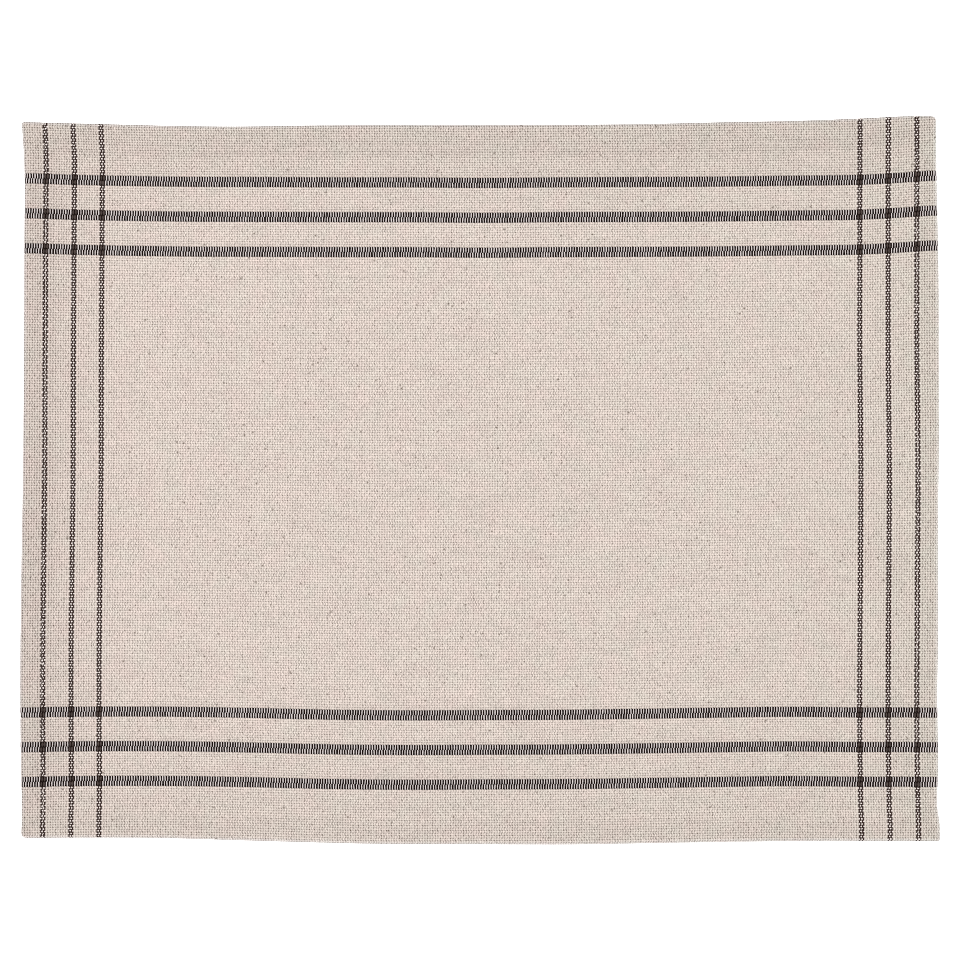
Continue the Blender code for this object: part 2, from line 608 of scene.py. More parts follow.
@dataclass
class MeshParts:
    """A mesh as it grows, part by part."""

    places: list[Floats] = field(default_factory=list)  # the vertices' places of each part
    # the faces' vertices of each part, all with the same number of corners
    faces: list[Ints] = field(default_factory=list)
    maps: list[Floats] = field(default_factory=list)  # the corners' places on the map of each part
    count: int = 0  # how many vertices there are

    def add_places(self, places: Floats) -> int:
        """Adds vertices.

        Args:
            places: Where they are.

        Returns:
            The number of the first.
        """
        first = self.count
        self.places.append(places.reshape(-1, 3))
        self.count += len(self.places[-1])
        return first

    def add_faces(self, faces: Ints, uv: Floats) -> None:
        """Adds faces.

        Args:
            faces: Vertices of each face.
            uv: Place on the map of each corner.
        """
        self.faces.append(faces)
        self.maps.append(uv.reshape(-1, 2))

    def piece(self, name: str, finish: bpy.types.Material) -> bpy.types.Object:
        """Makes the piece.

        Args:
            name: The piece's name.
            finish: Its material.

        Returns:
            The object, in the scene.
        """
        corners = np.concatenate([part.ravel() for part in self.faces])
        sizes = np.concatenate([np.full(len(part), part.shape[1]) for part in self.faces])
        mesh = bpy.data.meshes.new(name)
        mesh.vertices.add(self.count)
        mesh.vertices.foreach_set("co", np.concatenate(self.places).astype(np.float32).ravel())
        mesh.loops.add(len(corners))
        mesh.loops.foreach_set("vertex_index", corners.astype(np.int32))
        mesh.polygons.add(len(sizes))
        mesh.polygons.foreach_set("loop_start", np.concatenate([[0], np.cumsum(sizes)[:-1]]).astype(np.int32))
        mesh.update(calc_edges=True)
        layer = mesh.uv_layers.new(name=MAP)
        layer.uv.foreach_set("vector", np.concatenate(self.maps).astype(np.float32).ravel())
        mesh.validate(clean_customdata=False)
        mesh.shade_smooth()
        mesh.materials.append(finish)
        piece = bpy.data.objects.new(name, mesh)
        bpy.context.scene.collection.objects.link(piece)
        return piece


class Section(NamedTuple):
    """A corner of a yarn's cross-section, as shares of its half width and half height."""

    across: float
    up: float


ROUND_SECTION = (
    Section(1.0, 0.0), Section(0.56, 0.86), Section(-0.56, 0.86),
    Section(-1.0, 0.0), Section(-0.56, -0.86), Section(0.56, -0.86),
)
FLAT_SECTION = (
    Section(1.0, 0.0), Section(0.93, 1.0), Section(-0.93, 1.0),
    Section(-1.0, 0.0), Section(-0.93, -1.0), Section(0.93, -1.0),
)


@dataclass(frozen=True)
class Yarn:
    """A yarn that runs through the cloth."""

    half_width: float  # half its width in the cloth
    half_height: float  # half its thickness
    section: tuple[Section, ...] = ROUND_SECTION  # its cross-section
    tile: float = 0.020  # the length of yarn that one tile of its map holds

    def add_to(self, parts: MeshParts, spots: Spots, lift: Floats, lane: int, lanes: int) -> None:
        """Adds the yarn to a mesh.

        Args:
            parts: The mesh.
            spots: The places on the cloth along its way.
            lift: How far out of the cloth's surface its middle is at each.
            lane: Which of the map's lanes it takes.
            lanes: How many lanes there are.
        """
        middle = spots.place + spots.out * lift[:, None]
        profile = np.array(self.section)
        ring = (
            middle[:, None]
            + spots.across[:, None] * (profile[:, 0] * self.half_width)[None, :, None]
            + spots.out[:, None] * (profile[:, 1] * self.half_height)[None, :, None]
        )
        count, sides = len(middle), len(profile)
        first = parts.add_places(ring)
        lengths = np.linalg.norm(np.diff(spots.place, axis=0), axis=1)
        run = np.concatenate([[0], np.cumsum(lengths)]) / self.tile
        row = np.arange(count - 1)[:, None]
        side = np.arange(sides)[None, :]
        after = (side + 1) % sides
        quads = np.stack([
            first + row * sides + side, first + row * sides + after,
            first + (row + 1) * sides + after, first + (row + 1) * sides + side,
        ], axis=-1)
        around = (lane + np.stack([side, side + 1, side + 1, side], axis=-1) / sides) / lanes
        along = np.stack([run[row], run[row], run[row + 1], run[row + 1]], axis=-1)
        uv = np.stack(np.broadcast_arrays(along, around), axis=-1)
        parts.add_faces(quads.reshape(-1, 4)[:, ::-1], uv.reshape(-1, 4, 2)[:, ::-1])
        for end, order in ((0, 1), (count - 1, -1)):
            cap = (first + end * sides + np.arange(sides))[::order]
            parts.add_faces(cap[None], np.full((1, sides, 2), [run[end], (lane + 0.5) / lanes]))


@dataclass(frozen=True)
class Crossing:
    """A short stretch of yarn that shows on the cloth, modelled once and copied."""

    half_length: float  # half its length
    half_width: float  # half its width
    half_height: float  # half its thickness
    segments: int = 5  # how many sides it has
    rings: int = 4  # how many rings of faces there are from tip to tip
    bluntness: float = 1.0  # how far its end rings are pushed out towards its tips
    fullness: float = 1.0  # how much wider its end rings are than a round one's
    end_rings: tuple[float, float] = (0.1, 0.97)  # between which shares of its half length the end rings lie
    map_grid: int = 4  # how many copies lie side by side, and above each other, on one tile of the map
    map_share: float = 0.92  # the share of its cell there that a copy takes up

    def model(self) -> tuple[Floats, list[list[int]]]:
        """Models one crossing at the origin, lying along x.

        Returns:
            Its vertices' places and its faces.
        """
        bpy.ops.object.select_all(action="DESELECT")
        bpy.ops.mesh.primitive_uv_sphere_add(
            segments=self.segments, ring_count=self.rings, radius=1.0, rotation=(0.0, math.pi / 2, 0.0)
        )
        bpy.ops.object.transform_apply(location=True, rotation=True, scale=True)
        bpy.ops.object.mode_set(mode="EDIT")
        bpy.ops.mesh.select_all(action="SELECT")
        size = (self.half_length, self.half_width, self.half_height)
        bpy.ops.transform.resize(value=size, center_override=(0.0, 0.0, 0.0))
        bpy.ops.object.mode_set(mode="OBJECT")
        made = bpy.context.object
        places = np.array([vert.co for vert in made.data.vertices], float)
        share = np.abs(places[:, 0]) / self.half_length
        least, most = self.end_rings
        places[(share > least) & (share < most)] *= (self.bluntness, self.fullness, self.fullness)
        faces = [list(face.vertices) for face in made.data.polygons]
        mesh = made.data
        bpy.data.objects.remove(made)
        bpy.data.meshes.remove(mesh)
        return places, faces

    def copy_to(self, parts: MeshParts, spots: Spots, lift: Floats, stretch: Floats) -> None:
        """Adds a copy at each place.

        Args:
            parts: The mesh.
            spots: The places on the cloth, with directions along and across the copy.
            lift: How far out of the cloth's surface each copy's middle is.
            stretch: Each copy's length, width and thickness, as shares of the model's.
        """
        places, faces = self.model()
        middle = spots.place + spots.out * lift[:, None]
        copies = (
            middle[:, None]
            + spots.along[:, None] * (places[None, :, 0] * stretch[:, None, 0])[..., None]
            + spots.across[:, None] * (places[None, :, 1] * stretch[:, None, 1])[..., None]
            + spots.out[:, None] * (places[None, :, 2] * stretch[:, None, 2])[..., None]
        )
        first = parts.add_places(copies)
        number, grid = np.arange(len(middle)), self.map_grid
        cell = np.stack([number % grid, number // grid % grid], axis=-1) / grid
        tile = np.stack([number // grid**2, np.zeros_like(number)], axis=-1)
        turn = np.arctan2(places[:, 1], places[:, 2]) / math.pi
        flat = np.stack([places[:, 0] / self.half_length, turn], axis=-1)
        flat = (flat * (self.map_share / 2) + 0.5) / grid
        for corners in (3, 4):
            same = np.array([face for face in faces if len(face) == corners], int)
            if len(same):
                verts = first + number[:, None, None] * len(places) + same[None]
                around = flat[same]
                middle_turn = around[..., 1].mean(axis=1, keepdims=True)
                far = np.abs(around[..., 1] - middle_turn) > self.map_share / 2 / grid
                around[..., 1] = np.where(far, middle_turn, around[..., 1])
                uv = around[None] + cell[:, None, None] + tile[:, None, None]
                parts.add_faces(verts.reshape(-1, corners), uv.reshape(-1, corners, 2))


# ---- Finishes ----


@dataclass(frozen=True)
class Signal:
    """A socket of a material that Python's operators work on."""

    board: "Board"  # the material's nodes
    socket: bpy.types.NodeSocket  # the socket

    def math(self, operation: str, *others: "Signal | float", swapped: bool = False) -> "Signal":
        """A Math node on this value and others.

        Args:
            operation: The node's operation.
            *others: The other values.
            swapped: Whether this value comes last.

        Returns:
            Its result.
        """
        values = [self, *others]
        if swapped:
            values.reverse()
        return self.board.node("ShaderNodeMath", {"operation": operation}, dict(enumerate(values)))

    def __add__(self, other: "Signal | float") -> "Signal":
        """The sum."""
        return self.math("ADD", other)

    __radd__ = __add__

    def __sub__(self, other: "Signal | float") -> "Signal":
        """The difference."""
        return self.math("SUBTRACT", other)

    def __rsub__(self, other: "Signal | float") -> "Signal":
        """The difference, the other way round."""
        return self.math("SUBTRACT", other, swapped=True)

    def __mul__(self, other: "Signal | float") -> "Signal":
        """The product."""
        return self.math("MULTIPLY", other)

    __rmul__ = __mul__

    def __truediv__(self, other: "Signal | float") -> "Signal":
        """The quotient."""
        return self.math("DIVIDE", other)

    def __abs__(self) -> "Signal":
        """The size, without its sign."""
        return self.math("ABSOLUTE")

    def wrapped(self) -> "Signal":
        """The distance to the nearest whole number, from -0.5 to 0.5."""
        return (self + 0.5).math("FRACT") - 0.5

    def dome(self, reach: float) -> "Signal":
        """A round hump: 1 at 0, falling to 0 at a distance."""
        part = self * (1 / reach)
        return (1 - part * part).math("MAXIMUM", 0.0).math("SQRT")

    def bell(self, reach: float) -> "Signal":
        """A soft bell: 1 at 0, and next to 0 at twice a distance."""
        part = self * (1 / reach)
        return (part * part * -1).math("EXPONENT")

    def ramp(self, low: float, high: float) -> "Signal":
        """0 at a low value, 1 at a high one, and a smooth rise between."""
        settings = {"interpolation_type": "SMOOTHSTEP", "clamp": True}
        inputs = {"Value": self, "From Min": low, "From Max": high}
        return self.board.node("ShaderNodeMapRange", settings, inputs)

    def floored(self) -> "Signal":
        """The whole number below."""
        return self.math("FLOOR")

    def odd(self) -> "Signal":
        """1 for an odd whole number, and 0 for an even one."""
        return self.math("FLOORED_MODULO", 2.0)


@dataclass
class Board:
    """A material's nodes."""

    name: str
    material: bpy.types.Material = field(init=False)

    def __post_init__(self) -> None:
        """Makes the material."""
        self.material = bpy.data.materials.new(self.name)
        self.material.use_nodes = True

    @property
    def shader(self) -> bpy.types.Node:
        """The material's shader."""
        return self.material.node_tree.nodes["Principled BSDF"]

    def node(self, kind: str, settings: dict[str, Any], inputs: dict[Any, Any], output: Any = 0) -> Signal:
        """Adds a node.

        Args:
            kind: The node's type.
            settings: Its settings.
            inputs: The values or signals of its sockets.
            output: The socket that is wanted.

        Returns:
            That socket.
        """
        made = self.material.node_tree.nodes.new(kind)
        for key, value in settings.items():
            setattr(made, key, value)
        for key, value in inputs.items():
            self.feed(made.inputs[key], value)
        return Signal(self, made.outputs[output])

    def feed(self, socket: bpy.types.NodeSocket, value: Any) -> None:
        """Links a signal to a socket, or sets the socket's own value.

        Args:
            socket: The socket.
            value: The signal or value.
        """
        if isinstance(value, Signal):
            self.material.node_tree.links.new(value.socket, socket)
        else:
            socket.default_value = value

    def set(self, **values: Any) -> None:
        """Sets the shader's sockets, whose names are given with _ for a space."""
        for key, value in values.items():
            self.feed(self.shader.inputs[key.replace("_", " ")], value)

    def map_places(self) -> tuple[Signal, Signal]:
        """The two directions of the piece's own map.

        Returns:
            The places along it and up it.
        """
        uv = self.node("ShaderNodeUVMap", {"uv_map": MAP}, {})
        x = self.node("ShaderNodeSeparateXYZ", {}, {0: uv}, "X")
        return x, Signal(self, x.socket.node.outputs["Y"])

    def attribute(self, name: str, output: str) -> Signal:
        """An attribute of the piece's mesh."""
        return self.node("ShaderNodeAttribute", {"attribute_name": name}, {}, output)

    def vector(self, x: Any, y: Any, z: Any = 0.0) -> Signal:
        """A vector of three values."""
        return self.node("ShaderNodeCombineXYZ", {}, {0: x, 1: y, 2: z})

    def noise(self, vector: Signal, scale: float, detail: float = 2.0, roughness: float = 0.5) -> Signal:
        """Noise about 0.5."""
        inputs = {"Vector": vector, "Scale": scale, "Detail": detail, "Roughness": roughness}
        return self.node("ShaderNodeTexNoise", {"noise_dimensions": "3D"}, inputs, 0)

    def chance(self, x: Any, y: Any) -> Signal:
        """A chance value from 0 to 1 for each pair of numbers."""
        vector = self.vector(x, y)
        return self.node("ShaderNodeTexWhiteNoise", {"noise_dimensions": "2D"}, {"Vector": vector}, 0)

    def mix(self, share: Any, low: Any, high: Any, blend: str = "MIX") -> Signal:
        """A mix of two colours."""
        settings = {"data_type": "RGBA", "blend_type": blend}
        return self.node("ShaderNodeMix", settings, {0: share, 6: low, 7: high}, 2)

    def scaled(self, colour: Any, share: Any) -> Signal:
        """A colour times a number."""
        return self.node("ShaderNodeVectorMath", {"operation": "SCALE"}, {0: colour, "Scale": share})

    def bump(self, height: Signal, distance: float) -> Signal:
        """A bump whose height from 0 to 1 stands for a distance."""
        return self.node("ShaderNodeBump", {}, {"Strength": 1.0, "Distance": distance, "Height": height})


class Seat(NamedTuple):
    """Where a point of the cloth sits in the weave."""

    pair: Signal  # the count of reed pairs
    pick: Signal  # the count of picks
    end: Signal  # the number of the warp end that it is on
    row: Signal  # the number of the pick that it is on
    gap: Signal  # the number of the nearest gap between pairs
    border: Signal  # the number of the nearest border between picks


class Grain(NamedTuple):
    """Noise in the cloth's yarns."""

    across: float  # how fine it is from pair to pair
    up: float  # how fine it is from pick to pick
    strength: float = 1.0  # how strongly it brightens and darkens
    detail: float = 1.0  # how many finer layers it has
    roughness: float = 0.5  # how strong those are
    start: float = 0.0  # which part of the noise it is

    def at(self, x: Signal, y: Signal) -> Signal:
        """The noise about 0.5 at counts of pairs and picks."""
        place = x.board.vector(x * self.across, y * self.up, self.start)
        return x.board.noise(place, 1.0, self.detail, self.roughness)

    def swing(self, x: Signal, y: Signal) -> Signal:
        """The noise about 0, in its strength."""
        return (self.at(x, y) - 0.5) * self.strength


@dataclass(frozen=True)
class Humps:
    """The round backs of the ends and picks that are up."""

    place: float = 0.23  # how far from its pair's middle an end that is up lies, in pairs
    end_reach: float = 0.29  # half the width of an end's hump, in pairs
    end_fall: float = 1.2  # how fast that hump falls along the end
    pick_reach: float = 0.38  # half the length of a pick's hump, in pairs
    pick_half: float = 0.55  # half its width, in picks
    pick_rise: float = 0.88  # its height against an end's

    def at(self, seat: Seat) -> tuple[Signal, Signal]:
        """How high the humps are.

        Args:
            seat: Where points sit in the weave.

        Returns:
            The height of the ends' humps and of the picks' humps.
        """
        across = (seat.pair.math("FRACT") - 0.5) * (1 - 2 * seat.row.odd())
        up = seat.pick - seat.row - 0.5
        end = (across - self.place).wrapped().dome(self.end_reach) * (1 - self.end_fall * up * up)
        beside = (across + (0.5 - self.place)).wrapped()
        return end, up.dome(self.pick_half) * beside.dome(self.pick_reach) * self.pick_rise


@dataclass(frozen=True)
class Holes:
    """The small holes between the pairs and the picks, whose depth sets the painted shade in them and their
    bump.
    """

    half_width: float = 0.25  # half a hole's width, in pairs
    half_height: float = 0.31  # half its height, in picks
    lean: float = 0.11  # how far the holes lean, to one side and the other by turns
    weak: float = 0.87  # how deep the holes of every other border are
    strong: float = 0.13  # what the others have on top of that
    spread: float = 0.62  # how much wider or narrower a hole is than the one beside it
    deep_from: float = 0.975  # the chance value from which a hole is deeper than all others
    deep: float = 0.7  # how much deeper it is
    hem: float = 0.28  # how much a hem's painted shade deepens the holes and their painted shade
    hem_limit: float = 1.2  # the shade that counts fully for that

    def at(self, board: Board, seat: Seat, shade: Signal) -> Signal:
        """How deep in a hole points are.

        Args:
            board: The material's nodes.
            seat: Where points sit in the weave.
            shade: The hems' painted shade, and the rims' painted light.

        Returns:
            The depth, from 0 to about 1.
        """
        strong = seat.border.odd()
        off = seat.pick - seat.border
        lean = off * (2 * strong - 1) * self.lean
        hole = (seat.pair.wrapped() + lean).bell(self.half_width) * off.bell(self.half_height)
        here = board.chance(seat.gap + 0.25, seat.border)
        beside = board.chance(seat.gap + 1.25, seat.border)
        deep = board.chance(seat.gap + 5.25, seat.border).ramp(self.deep_from, 1.0)
        opened = 1.0 + (here - beside) * self.spread + deep * self.deep
        from_hem = 1 + shade.math("MINIMUM", self.hem_limit) * self.hem
        return hole * (self.weak + self.strong * strong) * opened * from_hem


@dataclass(frozen=True)
class Tone:
    """How bright the yarn is: painted light on the humps, painted shade between them, and tone that differs
    at random.
    """

    ground: float = 0.76  # the brightness between the humps, where painted shade falls
    end: float = 0.26  # the painted light that an end's hump adds
    pick: float = 0.06  # the painted light that a pick's hump adds
    streak: Grain = Grain(0.07, 3.7, 0.25, detail=2.0, roughness=0.6)  # how picks differ, in long streaks
    stripe: Grain = Grain(2.3, 0.03, 0.08)  # how ends differ
    knot: float = 0.13  # how strongly each end's back on a pick differs from those beside it
    slub: Grain = Grain(0.34, 3.7, 0.26, start=5.3)  # how short stretches of a pick stand out
    fibre: float = 1.45  # how strongly the fibres show
    cloud: Grain = Grain(0.16, 0.16, 0.10, detail=3.0, roughness=0.6)  # how the cloth varies over many yarns
    most: float = 1.16  # the brightness that none passes
    softness: float = 0.30  # how softly it is kept from that
    level: float = 1.077  # what the yarn's colour is brightened by in all

    def at(self, board: Board, seat: Seat, humps: tuple[Signal, Signal], fibre: Signal) -> Signal:
        """The yarn's brightness.

        Args:
            board: The material's nodes.
            seat: Where points sit in the weave.
            humps: The height of the ends' humps and of the picks' humps.
            fibre: The fibres' noise.

        Returns:
            The brightness, about 1.
        """
        pair, pick, end, row = seat.pair, seat.pick, seat.end, seat.row
        knot = board.chance(end, row) - board.chance(end + 1, row)
        knot = knot - board.chance(end, row + 1) + board.chance(end + 1, row + 1)
        # painted light and shade from the humps, then random streaks, stripes, knots, slubs, fibres and
        # clouds
        tone = (
            self.ground + humps[0] * self.end + humps[1] * self.pick
            + self.streak.swing(pair, row) + self.stripe.swing(end, pick)
            + knot * self.knot + self.slub.swing(pair, row)
            + (fibre - 0.5) * self.fibre + self.cloud.swing(pair, pick)
        )
        return tone.math("SMOOTH_MIN", self.most, self.softness)


@dataclass(frozen=True)
class Specks:
    """Bits of seed coat in the cotton, and fainter brownish threads.

    The bits are found on a slanted grid of cells, a few of which hold one.
    """

    along: tuple[float, float] = (0.80, 0.31)  # cells to a pair and to a pick, in the direction of a bit
    # the same across that direction, with the pairs counted backwards
    aside: tuple[float, float] = (0.27, 0.72)
    chosen_from: float = 0.985  # the chance value from which a cell holds a bit
    half_length: float = 0.33  # half a bit's length, in cells
    half_width: float = 0.27  # half its width
    cover: float = 0.9  # how much of the yarn a bit covers
    faint: Grain = Grain(0.55, 1.6, start=7.0)  # where fainter threads lie
    faint_from: float = 0.70  # the noise value from which a faint thread shows
    faint_full: float = 0.80  # the value from which it shows fully
    faint_cover: float = 0.25  # how much of the yarn a faint thread covers

    def at(self, board: Board, seat: Seat) -> Signal:
        """How much of the yarn is covered.

        Args:
            board: The material's nodes.
            seat: Where points sit in the weave.

        Returns:
            The share from 0 to 1.
        """
        along = seat.pair * self.along[0] + seat.pick * self.along[1]
        aside = seat.pick * self.aside[1] - seat.pair * self.aside[0]
        chosen = board.chance((along + 0.5).floored(), (aside + 0.5).floored()).ramp(self.chosen_from, 1.0)
        bit = chosen * along.wrapped().bell(self.half_length) * aside.wrapped().bell(self.half_width)
        thread = self.faint.at(seat.pair, seat.pick)
        faint = thread.ramp(self.faint_from, self.faint_full) * self.faint_cover
        return (bit * self.cover).math("MAXIMUM", faint)


@dataclass(frozen=True)
class EcruWeave:
    """The ground cloth: coarse undyed cotton, one end over and one under, its ends in reed pairs."""

    tile_pairs: int = 88  # pairs on one tile of the map
    tile_picks: int = 88  # picks on one tile of the map, an even number
    light: Colour = (0.735, 0.640, 0.575)  # the yarn's colour
    hole: Colour = (0.132, 0.092, 0.070)  # painted shade in the holes between the yarns
    speck: Colour = (0.11, 0.075, 0.052)  # the colour of bits of seed coat in the cotton
    warm: Colour = (1.043, 0.972, 0.993)  # what the warmer parts' colour is multiplied by
    cool: Colour = (0.957, 1.028, 1.007)  # what the cooler parts' colour is multiplied by
    warmth: Grain = Grain(0.11, 0.11, detail=1.5)  # where the cooler parts are
    fibre: Grain = Grain(3.6, 3.6, roughness=0.6)  # the fibres
    hem_share: float = 0.915  # how bright a hem in full painted shade is
    hole_cover: float = 0.64  # how much of the holes' painted shade shows in a hole of depth 1
    hole_limit: float = 0.95  # how much of it shows at most
    hole_relief: float = 0.5  # how deep a hole is, against an end's hump
    fibre_relief: float = 0.35  # how high the fibres stand, against an end's hump
    relief: float = 0.00024  # the height that an end's hump stands for
    humps: Humps = Humps()  # the yarns' round backs
    holes: Holes = Holes()  # the holes between them
    tone: Tone = Tone()  # the yarns' brightness
    specks: Specks = Specks()  # the bits of seed coat

    def dress(self) -> bpy.types.Material:
        """Builds the material.

        Returns:
            The material.
        """
        board = Board("ecru_weave")
        u, v = board.map_places()
        pair, pick = u * self.tile_pairs, v * self.tile_picks
        gap, border = (pair + 0.5).floored(), (pick + 0.5).floored()
        seat = Seat(pair, pick, (pair * 2).floored(), pick.floored(), gap, border)
        shade = board.attribute("hem_shade", "Fac")
        humps = self.humps.at(seat)
        hole = self.holes.at(board, seat, shade)
        fibre = self.fibre.at(pair, pick)
        tone = self.tone.at(board, seat, humps, fibre)
        # the hems' painted shade darkens the yarn, and the rims' painted light brightens it
        yarn = board.scaled(self.light, tone * (1 - (1 - self.hem_share) * shade) * self.tone.level)
        tint = board.mix(self.warmth.at(pair, pick), (*self.warm, 1.0), (*self.cool, 1.0))
        yarn = board.mix(1.0, yarn, tint, "MULTIPLY")
        yarn = board.mix(1.0, yarn, board.attribute("hem_tint", "Color"), "MULTIPLY")
        yarn = board.mix(self.specks.at(board, seat), yarn, (*self.speck, 1.0))
        # painted shade in the holes between the yarns
        cover = (hole * self.hole_cover).math("MINIMUM", self.hole_limit)
        relief = humps[0].math("MAXIMUM", humps[1]) - hole * self.hole_relief
        relief = relief + (fibre - 0.5) * self.fibre_relief
        board.set(
            Base_Color=board.mix(cover, yarn, (*self.hole, 1.0)),
            Roughness=0.86 + fibre * 0.10,
            Specular_IOR_Level=0.25,
            Sheen_Weight=0.12,
            Sheen_Roughness=0.6,
            Normal=board.bump(relief, self.relief),
        )
        return board.material


@dataclass(frozen=True)
class YarnGrain:
    """A single yarn's twist, fibres and patches."""

    twist: tuple[float, float]  # how often the plies come round on one tile of the map, along it and up it
    fibre: tuple[float, float]  # how fine the fibres are, along the map and up it
    patch: float  # how fine the patches are, in the object's own metres

    def at(self, board: Board) -> tuple[Signal, Signal, Signal]:
        """The plies, the fibres and the patches.

        Args:
            board: The material's nodes.

        Returns:
            A value from 0 to 1 for each of them.
        """
        u, v = board.map_places()
        ply = ((u * self.twist[0] + v * self.twist[1]) * (2 * math.pi)).math("SINE") * 0.5 + 0.5
        fibre = board.noise(board.vector(u * self.fibre[0], v * self.fibre[1]), 1.0, 2.0, 0.6)
        place = board.node("ShaderNodeTexCoord", {}, {}, "Object")
        return ply, fibre, board.noise(place, self.patch, 1.0)


@dataclass(frozen=True)
class DarkYarn:
    """Near-black dyed cotton, with its twist, and lighter where fibres stand off."""

    name: str
    dark: Colour  # the dye's colour
    worn: Colour  # the colour of stray fibres
    lanes: int  # how many yarns lie side by side on the map
    worn_share: float = 0.5  # how much of it stray fibres cover at most
    relief: float = 0.00010  # the height that the twist and fibres stand for

    def dress(self) -> bpy.types.Material:
        """Builds the material.

        Returns:
            The material.
        """
        board = Board(self.name)
        grain = YarnGrain(twist=(24, 2 * self.lanes), fibre=(90, 7 * self.lanes), patch=900.0)
        ply, fibre, patch = grain.at(board)
        worn = (fibre * 0.6 + patch * 0.7 + ply * 0.15).ramp(0.66, 1.05) * self.worn_share
        board.set(
            Base_Color=board.mix(worn, (*self.dark, 1.0), (*self.worn, 1.0)),
            Roughness=0.82 + fibre * 0.12,
            Specular_IOR_Level=0.06,
            Normal=board.bump(ply * 0.6 + fibre * 0.6, self.relief),
        )
        return board.material


@dataclass(frozen=True)
class CottonYarn:
    """Cotton yarn on the small crossings and stitches."""

    name: str
    light: Colour
    shade: Colour  # painted shade: its colour in the hollows of its twist
    sheen: float = 0.12  # how strongly its stray fibres shine
    grain: YarnGrain = YarnGrain(twist=(12, 8), fibre=(40, 60), patch=700.0)  # its twist, fibres and patches
    relief: float = 0.00008  # the height that the twist and fibres stand for

    def dress(self) -> bpy.types.Material:
        """Builds the material.

        Returns:
            The material.
        """
        board = Board(self.name)
        ply, fibre, patch = self.grain.at(board)
        # painted shade in the twist's hollows, mixed with fibres and patches that vary at random
        share = (ply * 0.25 + fibre * 0.5 + patch * 0.7).ramp(0.35, 1.05)
        board.set(
            Base_Color=board.mix(share, (*self.shade, 1.0), (*self.light, 1.0)),
            Roughness=0.85 + fibre * 0.10,
            Specular_IOR_Level=0.25,
            Sheen_Weight=self.sheen,
            Sheen_Roughness=0.6,
            Normal=board.bump(ply * 0.5 + fibre * 0.5, self.relief),
        )
        return board.material


# ---- The ground cloth ----


@dataclass(frozen=True)
class GridLines:
    """The cloth mesh's lines in one direction: by their inset from the edges near them, by counts between."""

    insets: tuple[float, ...]  # insets of the lines near an edge, of which the first is the edge itself
    counts: tuple[float, ...]  # counts of pairs or picks of the lines between

    def nominal(self, half: float, counted: Counted) -> Floats:
        """Where the lines lie in the plain rectangle.

        Args:
            half: Half the rectangle's length in this direction.
            counted: The plan's counts in this direction.

        Returns:
            The lines' places.
        """
        near = np.array(self.insets)
        return np.concatenate([near - half, counted.nominal(np.array(self.counts)), half - near[::-1]])

    def places(self, low: Floats, high: Floats, between: Floats) -> Floats:
        """Where the lines lie in the mat.

        Args:
            low: Where the low edge is, for each line of the other direction.
            high: Where the high edge is.
            between: Where the counted lines are.

        Returns:
            A place for each line of this direction and of the other.
        """
        near = np.array(self.insets)[:, None]
        return np.concatenate([low[None] + near, between, high[None] - near[::-1]])


ROUNDING = 0.000001  # metres by which equal places may differ
FOLD_STEP = 0.0005  # over this way the lower side goes from a side hem up to the field near the corners
BORDER_GAP = 20  # counts; dark lines that are further apart than this have the field between them


def line_steps(lines: Sequence[int], edge: Sequence[float], between: int, across_field: int) -> list[float]:
    """Counts of mesh lines: close at each dark line, and even between them.

    Args:
        lines: Counts of the dark lines' middles.
        edge: Distances from a dark line's middle at which it has a mesh line, from the least.
        between: Steps between neighbouring dark lines.
        across_field: Steps across the field.

    Returns:
        The counts in order.
    """
    counts = []
    for number, line in enumerate(lines):
        counts += [line - away for away in reversed(edge)] + [line + away for away in edge]
        if number + 1 < len(lines):
            low, high = line + edge[-1], lines[number + 1] - edge[-1]
            steps = between if lines[number + 1] - line < BORDER_GAP else across_field
            counts += [low + (high - low) * step / steps for step in range(1, steps)]
    return counts


def outer_places(across: int, up: int) -> tuple[Ints, Ints]:
    """A grid's outer vertices in order round the mat, counter-clockwise from above.

    Args:
        across: How many vertices a row of the grid has.
        up: How many rows it has.

    Returns:
        Their columns and rows.
    """
    i = np.concatenate([
        np.arange(across - 1), np.full(up - 1, across - 1),
        np.arange(across - 1, 0, -1), np.zeros(up - 1, int),
    ])
    j = np.concatenate([
        np.zeros(across - 1, int), np.arange(up - 1),
        np.full(across - 1, up - 1), np.arange(up - 1, 0, -1),
    ])
    return i, j


class Stop(NamedTuple):
    """An inset from the edge in millimetres, and the share of a hem's painted shade there."""

    inset: float
    share: float


class HemLook(NamedTuple):
    """How one edge's hem looks: its painted shade and light, and its tint."""

    shade: float  # how dark its painted shade is
    cool: float  # how cool its colour is
    shaded_rim: float  # how much painted shade darkens the very rim
    lit_rim: float  # how much painted light brightens its rounding
